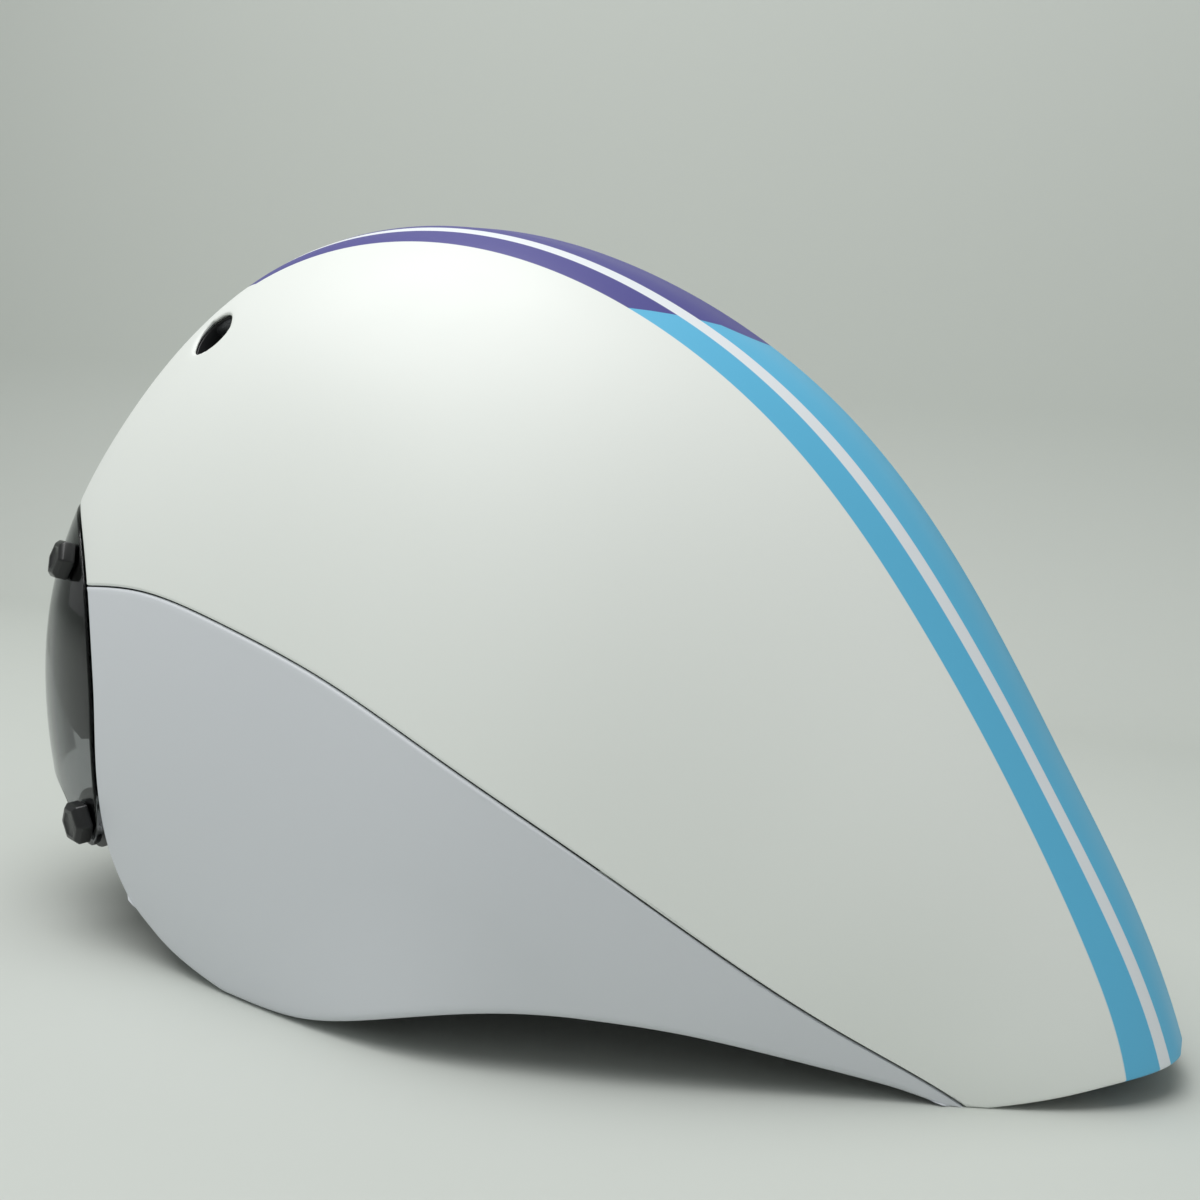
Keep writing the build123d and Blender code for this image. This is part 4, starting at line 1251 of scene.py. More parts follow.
@dataclass
class VentHole:
    """One vent opening through the shell.

    Args:
        seat: its place on the hull.
        top: width of its upper side.
        low: width of its lower side.
        rise: its height.
        corner: radius of its corners.
        roll: radius of its rolled-in rim.
        spin: turn of the hole inside the rim.
        hole_less: what the hole lacks of the top, the low side and the rise, in rolls.
        hole_corner: the corner radius of the outline over that of the hole.
    """

    seat: Seat
    top: float = 24.0
    low: float = 12.0
    rise: float = 12.0
    corner: float = 1.8
    roll: float = 1.2
    spin: float = 0.0
    hole_less: tuple = (2.5, 2.0, 1.7)
    hole_corner: float = 1.5

    def outline(self) -> Points:
        """Return the outline in the seat's plane."""
        upright = rounded_outline(trapezoid(self.top, self.low, self.rise), self.corner, 8)
        cosine, sine = math.cos(self.spin), math.sin(self.spin)
        return upright @ np.array([[cosine, sine], [-sine, cosine]])

    def hole(self) -> "VentHole":
        """Return the dark hole inside the rolled rim."""
        top, low, rise = (size - less * self.roll for size, less in
                          zip((self.top, self.low, self.rise), self.hole_less))
        return replace(self, top=top, low=low, rise=rise, corner=self.corner / self.hole_corner)

    def rings(self, angles: Points, steps: int = 5) -> list[Points]:
        """Return the rolled rim's rings from the skin to the hole."""
        outline, hole, rings = replace(self, spin=0.0).reach(angles), self.hole().reach(angles), []
        for turn in np.linspace(0, math.pi / 2, steps + 1):
            skin = self.seat.drop(HULL, outline + (hole - outline) * math.sin(turn))
            rings.append(skin - self.seat.normal * self.roll * (1 - math.cos(turn)))
        return rings

    def reach(self, angles: Points) -> Points:
        """Return the outline's places at angles about its centre."""
        outline = self.outline()
        around = np.arctan2(outline[:, 1], outline[:, 0])
        order = np.argsort(around)
        around, away = around[order], np.hypot(*outline[order].T)
        around = np.concatenate([around - 2 * math.pi, around, around + 2 * math.pi])
        away = np.interp(angles, around, np.tile(away, 3))
        return points_at(np.cos(angles), np.sin(angles)) * away[..., None]


@dataclass
class UpperShell:
    """The white shell over the crown and the tail, with its vents and crest bands."""

    wall: float = 2.0
    edge: float = 0.8
    seam_gap: float = 0.45
    rows: int = 72
    columns: int = 168
    side_vent_share: tuple = (-0.303, 0.815)
    centre_vent_angle: float = 60.5
    centre_vent_width: float = 22.0
    centre_vent_rise: float = 17.0
    vent_margin: float = 5.5
    vent_reach: float = 40.0
    vent_split: int = 3
    vent_shares: tuple = (0.3, 0.6, 0.82)
    side_vent_spin: float = 0.33
    lining_gap: float = 0.4
    lining_depth: float = 14.0
    lining_wall: float = 1.0
    bar_half: tuple = (0.8, 1.6)
    bar_depth: float = 6.0

    def vents(self) -> list[VentHole]:
        """Return the left, right and centre vents."""
        place = HULL.side_points([self.side_vent_share])[0]
        sides = [VentHole(HULL.seat(place, side), spin=side * self.side_vent_spin)
                 for side in (-1, 1)]
        side = sides[0]
        return sides + [VentHole(HULL.crest_seat(self.centre_vent_angle), self.centre_vent_width,
                                 self.centre_vent_width - side.rise / 2, self.centre_vent_rise)]

    def half(self) -> Points:
        """Return the left half as a grid, with rows from the seam to the spine."""
        front = RIM.crest_cut(HULL.side_line(RIM.front))
        seam = shifted(HULL.side_line(RIM.seam), -self.seam_gap / 2)
        tail = RIM.crest_cut(HULL.side_line(RIM.tail))
        i, j, corner = crossing(front, seam)
        front = np.concatenate([front[:i + 1], [corner]])[::-1]
        floor = np.array([[0.0, 0.0], tail[0]])
        k, _, heel = crossing(seam, floor)
        seam = np.concatenate([[corner], seam[j + 1:k + 1], [heel]])
        tail = np.concatenate([[heel], tail])
        up = np.linspace(0, 1, self.rows)
        along = np.linspace(0, 1, self.columns)
        west = HULL.climb(resample(front, up))
        east = HULL.climb(resample(tail, up))
        west[-1, 1] = east[-1, 1] = 1
        south = HULL.climb(resample(seam, along))
        angles = np.linspace(west[-1, 0], east[-1, 0], 400)
        crest = HULL.surface(points_at(angles, 1))[:, [0, 2]]
        north = HULL.climb(resample(crest, along))
        north[:, 1] = 1
        return HULL.surface(patch(south, north, west, east))

    def sheet(self) -> Sheet:
        """Return the outer skin with its vent openings."""
        left = self.half()
        right = left[:-1][::-1] * MIRROR
        grid = np.concatenate([left, right])
        grid[self.rows - 1, :, 1] = 0
        rows, columns = grid.shape[:2]
        points = grid.reshape(-1, 3)
        faces = grid_faces(rows, columns)
        for vent in self.vents():
            faces, points = self.cut(vent, grid, points, faces)
        used = sorted({i for face in faces for i in face})
        number = {old: new for new, old in enumerate(used)}
        return Sheet(points[used], [tuple(number[i] for i in face) for face in faces])

    def cut(self, vent: VentHole, grid: Points, points: Points,
            faces: list[Face]) -> tuple[list[Face], Points]:
        """Replace the grid's cells round a vent with rings that roll in to its hole.

        Args:
            vent: the opening.
            grid: the skin's points in rows and columns.
            points: all points so far.
            faces: all faces so far.

        Returns:
            The new faces and points.
        """
        columns = grid.shape[1]
        flat = vent.seat.flat(grid)
        near = np.linalg.norm(grid - vent.seat.origin, axis=-1) < self.vent_reach
        inside = (near & (np.abs(flat[..., 0]) < vent.top / 2 + self.vent_margin)
                  & (np.abs(flat[..., 1]) < vent.rise / 2 + self.vent_margin))
        r, c = np.nonzero(inside)
        top, low, left, right = r.max(), r.min(), c.min(), c.max()
        kept = []
        for face in faces:
            rows_of = [i // columns for i in face]
            columns_of = [i % columns for i in face]
            block = (max(face) < grid.shape[0] * columns
                     and min(rows_of) >= low and max(rows_of) <= top
                     and min(columns_of) >= left and max(columns_of) <= right)
            if not block:
                kept.append(face)
        loop = [(low, k) for k in range(left, right)] + [(k, right) for k in range(low, top)]
        loop += [(top, k) for k in range(right, left, -1)]
        loop += [(k, left) for k in range(top, low, -1)]
        numbers = [a * columns + b for a, b in loop]
        corners = vent.seat.flat(points[numbers])
        split = self.vent_split
        ring = np.concatenate([corners * (1 - k / split) + np.roll(corners, -1, 0) * k / split
                               for k in range(split)], axis=1).reshape(-1, 2)
        angles = np.arctan2(ring[:, 1], ring[:, 0])
        rim, start = vent.rings(angles), len(points)
        outline = vent.seat.flat(rim[0])
        rings = [vent.seat.drop(HULL, ring * (1 - share) + outline * share)
                 for share in self.vent_shares] + rim
        around = len(ring)
        clockwise = self.turns_clockwise(corners)
        new: list[Face] = []
        for k in range(len(numbers)):
            after = (k + 1) % len(numbers)
            part = [start + (split * k + m) % around for m in range(split + 1)]
            new.append((numbers[k], numbers[after], *part[::-1]))
        for level in range(len(rings) - 1):
            base = start + level * around
            for k in range(around):
                after = (k + 1) % around
                new.append((base + k, base + after, base + around + after, base + around + k))
        if clockwise:
            new = [face[::-1] for face in new]
        return kept + new, np.concatenate([points, *rings])

    @staticmethod
    def turns_clockwise(loop: Points) -> bool:
        """Say whether a flat loop turns clockwise."""
        after = np.roll(loop, -1, 0)
        return float(np.sum(loop[:, 0] * after[:, 1] - loop[:, 1] * after[:, 0])) < 0

    def lining(self, vent: VentHole) -> Sheet:
        """Return a vent's lining: a tube under the rolled rim, with a bar across it."""
        rim, normal = vent.rings(circle(72))[-1], vent.seat.normal
        depths = np.linspace(self.lining_gap, self.lining_depth - vent.roll, 6)
        rows = [rim - normal * depth for depth in depths]
        tube = Sheet(np.concatenate(rows), grid_faces(len(rows), len(rim), closed=True))
        tube = tube.outwards(0, vent.seat.origin - rows[0][0])
        wide, high = self.bar_half
        profile = rounded_outline(trapezoid(2 * wide, 2 * wide, 2 * high), 0.5, 3)
        first, second = vent.seat.axes()
        bar = stack([vent.seat.origin + profile[:, :1] * first + second * share * vent.rise / 2
                     - normal * (self.bar_depth + profile[:, 1:]) for share in (-1, 1)])
        bar = bar.outwards(0, bar.points[0] - bar.points.mean(axis=0))
        return tube.thickened(self.lining_wall, 0.3, 0.2).joined(bar)

    def build(self) -> None:
        """Make the shell and the vent linings."""
        skin = self.sheet().outwards(0, LEFT)
        shell = skin.thickened(self.wall, self.edge).make("crown_shell", Look.SHELL)
        install(shell, "helmet", "shell", "upper_shell")
        for side, vent in zip(("left", "right", "centre"), self.vents()):
            install(self.lining(vent).make(f"vent_lining_{side}", Look.BLACK), "helmet",
                    "black_plastic", f"vent_insert_{side}")


@dataclass
class SidePanels:
    """The lower side panels, with rounded upper edges and folded-in rims."""

    wall: float = 2.0
    edge: float = 1.0
    seam_gap: float = 0.45
    rows: int = 44
    columns: int = 130
    turn_share: tuple = (-.297, .084)
    fold_radius: float = 2.3
    fold_width: float = 4.6
    fold_run: float = 16.0
    least_fold: float = 0.1

    def sheet(self) -> Sheet:
        """Return the left panel's outer skin."""
        rim = HULL.side_line(RIM.front)
        seam = shifted(HULL.side_line(RIM.seam), self.seam_gap / 2)
        i, j, corner = crossing(rim, seam)
        turn = HULL.side_points([self.turn_share])[0]
        k = int(np.argmin(np.linalg.norm(rim - turn, axis=1)))
        front = np.concatenate([[corner], rim[i + 1:k + 1]])
        belly = HULL.side_line(RIM.belly)
        m, _, heel = crossing(seam, np.array([[0.0, 0.0], HULL.side_points(RIM.tail)[0]]))
        low = np.concatenate([rim[k:], belly])
        top = np.concatenate([[corner], seam[j + 1:m + 1], [heel]])
        back = np.array([heel, low[-1]])
        up = np.linspace(0, 1, self.rows)
        along = np.linspace(0, 1, self.columns)
        run = run_lengths(low)
        ends = np.clip(np.minimum(run, run[-1] - run) / self.fold_run, 0, 1)
        growth = (1 - self.least_fold) * ends ** 2 * (3 - 2 * ends)
        radius = self.fold_radius * (self.least_fold + growth)
        raised = low + (shifted(low, -1) - low) * radius[:, None]
        front[-1], back[-1] = raised[0], raised[-1]
        places = patch(resample(raised, along), resample(top, along),
                       resample(front[::-1], up), resample(back[::-1], up))
        radius = np.interp(along * run[-1], run, radius)
        return self.folded(HULL.beside(places), HULL.facing(places), radius)

    def folded(self, grid: Points, facing: Points, radius: Points) -> Sheet:
        """Add the folded-in rim below the skin's lower edge.

        Args:
            grid: the skin above the fold.
            facing: its outward directions.
            radius: radius of the fold at each column.

        Returns:
            The skin with its fold.
        """
        shoulder, out = grid[0], facing[0]
        down = unit(np.cross(np.gradient(shoulder, axis=0), out))
        if np.sum(down * (shoulder - grid[1])) < 0:
            down = -down
        radius = radius[:, None]
        rows, ways = [], [down]
        for turn in np.linspace(math.pi / 2, 0, 5, endpoint=False):
            cosine, sine = math.cos(turn), math.sin(turn)
            rows.append(shoulder - out * radius * (1 - cosine) + down * radius * sine)
            ways.append(out * cosine + down * sine)
        inner = rows[0] - out * self.fold_width * (radius / self.fold_radius) ** 2
        whole, facing = np.concatenate([[inner], rows, grid]), np.concatenate([ways, facing])
        return Sheet(whole.reshape(-1, 3), grid_faces(*whole.shape[:2]),
                     facing=facing.reshape(-1, 3))

    def build(self) -> None:
        """Make both panels."""
        skin = self.sheet()
        left = skin.outwards(len(skin.points) // 2, LEFT).thickened(self.wall, self.edge)
        for name, form in (("left", left), ("right", left.mirrored())):
            piece = form.make(f"lower_panel_{name}", Look.PANEL)
            install(piece, "helmet", "shell", f"side_panel_{name}")


@dataclass
class FaceShield:
    """The smoked lens, its darker upper layer and its four knobs."""

    wall: float = 2.0
    gap: float = 1.7
    tint_wall: float = 1.0
    tint_inset: float = 2.3
    tint_margin: float = 2.2
    edge: float = 0.6
    rows: int = 60
    columns: int = 60
    low_share: tuple = ((-.336, .150), (-.345, .128), (-.360, .128), (-.392, .168),
                        (-.427, .190), (-.467, .198), (-.560, .207))
    tint_share: tuple = ((-.362, .268), (-.380, .279), (-.406, .309), (-.437, .359),
                         (-.475, .380), (-.560, .384))
    turn_share: tuple = (-.391, .514)
    lens_foot_z: float = 45.5
    tint_foot_z: float = 63.0
    nose_half_width: float = 24.0
    nose_rise: float = 35.0
    nose_base: float = 42.0
    nose_range: tuple = (-200.0, -60.0)
    nose_halvings: int = 40
    nose_step: float = 0.3
    knob_shares: tuple = ((-.4150, .496), (-.3545, .1595))
    knob_radius: float = 6.9
    knob_height: float = 4.9
    knob_chamfer: float = 1.3
    knob_corner: float = 0.9
    knob_gap: float = 0.3
    knob_foot: float = 0.35
    knob_soft: float = 0.12
    knob_rim: float = 1.0
    knob_dish: float = 0.55

    def nose_line(self, growth: float, inset: float) -> Points:
        """Return the side view of the nose opening's edge, from its foot to the spine."""
        turns = np.linspace(0, math.pi / 2, 80)
        across = (self.nose_half_width + growth) * np.cos(turns)
        height = self.nose_base + (self.nose_rise + growth) * np.sin(turns)
        line = []
        for y, z in zip(across, height):
            low, high = self.nose_range
            for _ in range(self.nose_halvings):
                middle = (low + high) / 2
                place = np.array([middle, z])
                inside = HULL.over(place, inset) < 1 and -HULL.beside(place, inset)[1] >= y
                low, high = (low, middle) if inside else (middle, high)
            line.append((high, z))
        return np.array(line)

    def half(self, margin: float, foot_z: float, low: Points, growth: float,
             inset: float) -> Points:
        """Return the left half of a lens as a grid, with rows from its lower edge up.

        Args:
            margin: distance from the rim to the lens's edge.
            foot_z: height where the side edge leaves the rim.
            low: side view of the lower edge, from its rear end forwards.
            growth: how far the nose opening is let out.
            inset: depth of the lens under the hull.

        Returns:
            The grid of points.
        """
        rim = shifted(HULL.side_line(RIM.front), margin)
        brow = RIM.crest_cut(rim, inset)
        turn = HULL.side_points([self.turn_share])[0]
        k = int(np.argmin(np.linalg.norm(brow - turn, axis=1)))
        top = brow[:k + 1][::-1]
        m = int(np.argmax(brow[:, 1] < foot_z))
        side = np.concatenate([brow[k:m], low[:1]])[::-1]
        nose = self.nose_line(growth, inset)
        lower = RIM.crest_cut(low, inset)
        across = -HULL.beside(lower, inset)[:, 1]
        if lower[-1, 1] < self.nose_base + self.nose_rise + growth:
            height = np.clip((lower[:, 1] - self.nose_base) / (self.nose_rise + growth), 0, 1)
            arch = (self.nose_half_width + growth) * np.sqrt(1 - height ** 2)
            last = int(np.argmax(across < arch))
            foot = lower[last]
            nose = nose[nose[:, 1] > foot[1] + self.nose_step]
            lower = np.concatenate([lower[:last + 1], nose])
        up, along = np.linspace(0, 1, self.rows), np.linspace(0, 1, self.columns)
        west, south = HULL.climb(resample(side, up), inset), HULL.climb(lower, inset)
        north = HULL.climb(resample(top, along), inset)
        solid = HULL.surface(south, inset)
        solid[-1, 1] = 0
        path = run_lengths(solid)
        south = np.stack([np.interp(along * path[-1], path, south[:, n]) for n in (0, 1)], -1)
        south[-1, 1] = north[-1, 1] = 1
        east = points_at(np.linspace(south[-1, 0], north[-1, 0], self.rows), 1)
        return HULL.surface(patch(south, north, west, east), inset)

    def lens(self, margin: float, foot_z: float, low: Points, growth: float, inset: float,
             wall: float) -> Sheet:
        """Return a whole lens as a closed form."""
        left = self.half(margin, foot_z, low, growth, inset)
        left[:, -1, 1] = 0
        grid = np.concatenate([left, left[:, :-1][:, ::-1] * MIRROR], axis=1)
        skin = Sheet(grid.reshape(-1, 3), grid_faces(*grid.shape[:2]))
        skin = skin.outwards(self.rows // 2 * grid.shape[1], LEFT)
        return skin.thickened(wall, min(self.edge, wall * 0.4), 0.2)

    def knob(self, seat: Seat) -> Sheet:
        """Return one knob: a six-sided cap with a chamfer and a shallow dish."""
        side = self.knob_radius * math.cos(math.pi / 6)
        top = self.knob_gap + self.knob_height
        foot, chamfer, soft = self.knob_foot, self.knob_chamfer, self.knob_soft
        steps = ((foot, self.knob_gap), (0, self.knob_gap + foot), (0, top - chamfer - 0.1),
                 (soft, top - chamfer + 0.15), (chamfer - 0.15, top - soft), (chamfer + 0.1, top),
                 (chamfer + self.knob_rim, top), (chamfer + self.knob_rim + 0.5, top - 0.35),
                 (side - 0.8, top - self.knob_dish))
        rings = []
        for inset, height in steps:
            radius = (side - inset) / math.cos(math.pi / 6)
            corners = [(radius * math.cos(a), radius * math.sin(a)) for a in circle(6)]
            outline = rounded_outline(corners, min(self.knob_corner, radius / 3))
            rings.append(seat.place(outline, height))
        return stack(rings)

    def build(self) -> None:
        """Make the two lenses and the knobs."""
        low = HULL.side_line(self.low_share)
        lens = self.lens(self.gap, self.lens_foot_z, low, 0, 0, self.wall)
        install(lens.make("smoked_lens", Look.LENS), "visor", "smoked_lens", "visor_lens")
        tint_low = HULL.side_line(self.tint_share)
        tint = self.lens(self.gap + self.tint_margin, self.tint_foot_z, tint_low,
                         self.tint_margin, self.tint_inset, self.tint_wall)
        install(tint.make("dark_lens_layer", Look.TINT), "visor", "dark_lens",
                "visor_inner_lens")
        knobs = None
        for place in HULL.side_points(self.knob_shares):
            for side in (-1, 1):
                knob = self.knob(HULL.seat(place, side))
                knobs = knob if knobs is None else knobs.joined(knob)
        install(knobs.make("shield_knobs", Look.GLOSSY, 30), "visor", "black_plastic",
                "visor_knobs")
        dress("visor_magnets", Look.MAGNET)
        dress("face_bezel", Look.BLACK)
        dress("bezel_magnets", Look.MAGNET)


@dataclass
class FoamLiner:
    """The bead-foam liner, with edges as soft as its mould leaves them."""

    voxel: float = 2.0
    softness: float = 0.5
    smoothing: int = 3

    def build(self) -> None:
        """Make the liner."""
        form = merged_copy("foam_liner")
        remesh = form.modifiers.new("even mesh", "REMESH")
        remesh.mode, remesh.voxel_size, remesh.use_smooth_shade = "VOXEL", self.voxel * METRE, True
        soften = form.modifiers.new("soft edges", "SMOOTH")
        soften.factor, soften.iterations = self.softness, self.smoothing
        liner = settled(form, "bead_foam_liner")
        coat(liner.data, Look.FOAM)
        install(liner, "helmet", "foam", "foam_liner")


@dataclass
class Cushion:
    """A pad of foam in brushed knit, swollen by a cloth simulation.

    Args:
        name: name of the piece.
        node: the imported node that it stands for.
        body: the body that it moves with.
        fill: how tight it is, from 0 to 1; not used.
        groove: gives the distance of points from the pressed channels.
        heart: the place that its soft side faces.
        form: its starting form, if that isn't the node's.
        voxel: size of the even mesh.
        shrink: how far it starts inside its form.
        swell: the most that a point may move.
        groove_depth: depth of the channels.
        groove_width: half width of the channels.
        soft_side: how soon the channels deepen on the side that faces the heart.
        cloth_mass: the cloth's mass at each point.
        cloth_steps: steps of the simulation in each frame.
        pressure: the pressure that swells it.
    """

    name: str
    node: str
    body: str
    fill: float
    groove: Callable[[Points], Points]
    heart: tuple = (-49.0, 0.0, 95.0)
    form: Sheet | None = None
    voxel: float = 1.5
    shrink: float = 0.6
    swell: float = 1.3
    groove_depth: float = 1.3
    groove_width: float = 1.3
    soft_side: float = 1.6
    cloth_mass: float = 0.2
    cloth_steps: int = 6
    pressure: float = 4.0
    piece: Piece | None = None
    start: Points | None = None

    def prepare(self) -> None:
        """Make the even, slightly smaller starting mesh, with its cloth."""
        form = (self.form.make(f"{self.name}_form", Look.PAD) if self.form
                else merged_copy(self.node))
        remesh = form.modifiers.new("even mesh", "REMESH")
        remesh.mode, remesh.voxel_size = "VOXEL", self.voxel * METRE
        self.piece = settled(form, self.name)
        mesh = self.piece.data
        self.start = coordinates(mesh) - point_normals(mesh) * self.shrink
        move_points(mesh, self.start)
        cloth = self.piece.modifiers.new("swelling", "CLOTH")
        settings = cloth.settings
        settings.quality, settings.mass = self.cloth_steps, self.cloth_mass
        settings.use_pressure, settings.uniform_pressure_force = True, self.pressure
        settings.effector_weights.gravity = 0
        cloth.collision_settings.use_collision = False
        cloth.point_cache.frame_start, cloth.point_cache.frame_end = 1, SWELL_FRAMES

    def finish(self) -> None:
        """Keep the swollen form within its limit, round it and press its channels."""
        self.piece = settled(self.piece, self.name)
        mesh = self.piece.data
        step = coordinates(mesh) - self.start
        reach = np.linalg.norm(step, axis=1, keepdims=True)
        move_points(mesh, self.start + step * np.minimum(1, self.swell / np.maximum(reach, 1e-9)))
        finer = self.piece.modifiers.new("rounding", "SUBSURF")
        finer.levels = finer.render_levels = 1
        self.piece = settled(self.piece, self.name)
        mesh = self.piece.data
        points, normals = coordinates(mesh), point_normals(mesh)
        facing = np.sum(normals * unit(np.array(self.heart) - points), axis=1)
        facing = np.clip(facing * self.soft_side, 0, 1)
        depth = self.groove_depth * np.exp(-(self.groove(points) / self.groove_width) ** 2) * facing
        move_points(mesh, points - normals * depth[:, None])
        mesh.shade_smooth()
        coat(mesh, Look.PAD)
        install(self.piece, self.body, "pad_fabric", self.node)

    def row(self, origins: Points, ways: Points, lift: float = 0.08) -> Points:
        """Return where rays meet the pad, for a row of stitches.

        Args:
            origins: where each ray starts, or where all do.
            ways: the direction of each ray, or of all.
            lift: how far the places stand off the knit.

        Returns:
            The places, in the rays' order.
        """
        mesh = self.piece.data
        solid = BVHTree.FromPolygons([v.co.copy() for v in mesh.vertices],
                                     [tuple(p.vertices) for p in mesh.polygons])
        places = []
        for origin, way in zip(*np.broadcast_arrays(origins, ways)):
            hit, normal, *_ = solid.ray_cast(Vector(origin * METRE), Vector(way))
            if hit is not None:
                places.append(np.array(hit) / METRE + np.array(normal) * lift)
        return np.array(places)


@dataclass
class Padding:
    """The pads inside the cavity, on the cradle and under the chin."""

    cavity: tuple = (-49.0, 0.0, 95.0)
    brow_z: tuple = (147.0, 168.0)
    brow_span: float = 57.0
    brow_channels: tuple = (-40.0, -20.0, 0.0, 20.0, 40.0)
    crown_x: tuple = (-109.0, 11.0)
    crown_middle: float = 19.0
    crown_half_width: float = 9.0
    crown_channels: tuple = (-85.0, -61.0, -37.0, -13.0)
    ear_x: float = -55.0
    ear_y: float = 81.5
    ear_z: float = 36.0
    ear_half_length: float = 44.0
    ear_half_height: float = 20.0
    ear_turn: float = 8.0
    ear_ring_share: float = 0.62
    ear_stitch_share: float = 0.90
    cradle_x: float = -33.0
    cradle_radius: float = 67.4
    cradle_y: float = 26.0
    cradle_z: float = 56.8
    cradle_half: tuple = (13.0, 15.0)
    chin_y: tuple = (-44.3, -22.3)
    chin_half_width: float = 10.5
    chin_height: float = 5.6
    chin_channel: float = 8.2
    chin_inset: float = 2.0
    above_chin: float = 30.0
    inside_ear: float = 20.0
    below_crown: float = 60.0
    strap_x: float = -29.0
    strap_z: float = 3.1
    inset: float = 1.5

    def ear_frame(self, side: int) -> tuple[Points, Points, Points]:
        """Return the middle, the long axis and the outward axis of an ear pad."""
        turn = math.radians(self.ear_turn)
        return (np.array([self.ear_x, side * self.ear_y, self.ear_z]),
                np.array([math.cos(turn), side * math.sin(turn), 0]),
                np.array([-math.sin(turn), side * math.cos(turn), 0]))

    def ear_share(self, points: Points, side: int) -> Points:
        """Return how far points are from an ear pad's middle, 1 at its outline."""
        middle, long, _ = self.ear_frame(side)
        return np.hypot((points - middle) @ long / self.ear_half_length,
                        (points[:, 2] - self.ear_z) / self.ear_half_height)

    def brow_groove(self, points: Points) -> Points:
        """Return the distance of points from the brow pad's channels."""
        turn = np.degrees(np.arctan2(points[:, 1], self.cavity[0] - points[:, 0]))
        away = np.hypot(points[:, 1], points[:, 0] - self.cavity[0])
        return np.min([np.abs(np.radians(turn - place)) * away
                       for place in self.brow_channels], axis=0)

    def crown_groove(self, points: Points) -> Points:
        """Return the distance of points from the crown pads' channels."""
        return np.min([np.abs(points[:, 0] - place) for place in self.crown_channels], axis=0)

    def chin_form(self) -> Sheet:
        """Return the chin pad's sleeve, flatter towards its ends."""
        low, high = self.chin_y
        rings, turns = [], circle(40)
        for share in np.sin(np.linspace(-math.pi / 2, math.pi / 2, 15)) * 0.97:
            y = (low + high) / 2 + share * (high - low) / 2
            rise = self.chin_height / 2 * (1 - abs(share) ** 2.4) ** 0.5
            wide = self.chin_half_width * (1 - 0.12 * abs(share) ** 4)
            rings.append(points_at(
                self.strap_x + wide * np.sign(np.cos(turns)) * np.abs(np.cos(turns)) ** 0.5, y,
                self.strap_z + rise * np.sign(np.sin(turns)) * np.abs(np.sin(turns)) ** 0.8))
        return stack(rings).outwards(len(rings) // 2 * len(turns), BACK)

    def cushions(self) -> dict[str, Cushion]:
        """Return every pad before it swells."""
        made = {
            "brow": Cushion("brow_cushion", "brow_pad", "helmet", 0.6, self.brow_groove),
            "crown": Cushion("crown_cushions", "crown_pads", "helmet", 0.6, self.crown_groove),
            "cradle": Cushion("nape_cushions", "cradle_pads", "cradle", 0.6,
                              lambda points: np.abs(points[:, 2] - self.cradle_z),
                              heart=(-60.0, 0.0, 57.0), shrink=0.4, swell=0.9),
            "chin": Cushion("chin_cushion", "chin_pad", "helmet", 0.7,
                            lambda points: np.abs(np.abs(points[:, 0] - self.strap_x)
                                                  - self.chin_channel),
                            heart=(self.strap_x, -33.0, 200.0), form=self.chin_form(), voxel=1.0,
                            shrink=0.4, swell=0.7, groove_depth=0.7, groove_width=0.8)}
        for name, side in SIDES:
            made[name] = Cushion(
                f"ear_cushion_{name}", f"ear_pad_{name}", "helmet", 0.7,
                lambda points, side=side: (self.ear_share(points, side) - self.ear_ring_share) * 24,
                heart=(self.ear_x, 0.0, self.ear_z), groove_depth=1.6, groove_width=1.5)
        return made

    def rows(self, made: dict[str, Cushion]) -> list[Points]:
        """Return the rows of stitches on the pads that ride on the helmet."""
        rows = []
        turns = np.radians(np.linspace(-self.brow_span, self.brow_span, 90))
        ways = points_at(-np.cos(turns), np.sin(turns), 0)
        for z in (self.brow_z[0] + self.inset, self.brow_z[1] - self.inset):
            rows.append(made["brow"].row(np.array([self.cavity[0], 0, z]), ways))
        low, high = self.crown_x
        along = np.linspace(low + self.inset, high - self.inset, 80)
        for side in (-1, 1):
            for edge in (-1, 1):
                y = side * self.crown_middle + edge * (self.crown_half_width - self.inset)
                starts = points_at(along, y, self.below_crown)
                rows.append(made["crown"].row(starts, np.array(UP)))
        turns = np.linspace(0, 2 * math.pi, 120)
        length, height = (half * self.ear_stitch_share
                          for half in (self.ear_half_length, self.ear_half_height))
        for name, side in SIDES:
            middle, long, out = self.ear_frame(side)
            starts = (middle - out * self.inside_ear + long * (np.cos(turns) * length)[:, None]
                      + np.array(UP) * (np.sin(turns) * height)[:, None])
            rows.append(made[name].row(starts, out))
        low, high = self.chin_y
        along = np.linspace(low + self.chin_inset, high - self.chin_inset, 30)
        for x in (self.strap_x - self.chin_channel, self.strap_x + self.chin_channel):
            rows.append(made["chin"].row(points_at(x, along, self.above_chin), -np.array(UP)))
        return [row for row in rows if len(row) > 3]

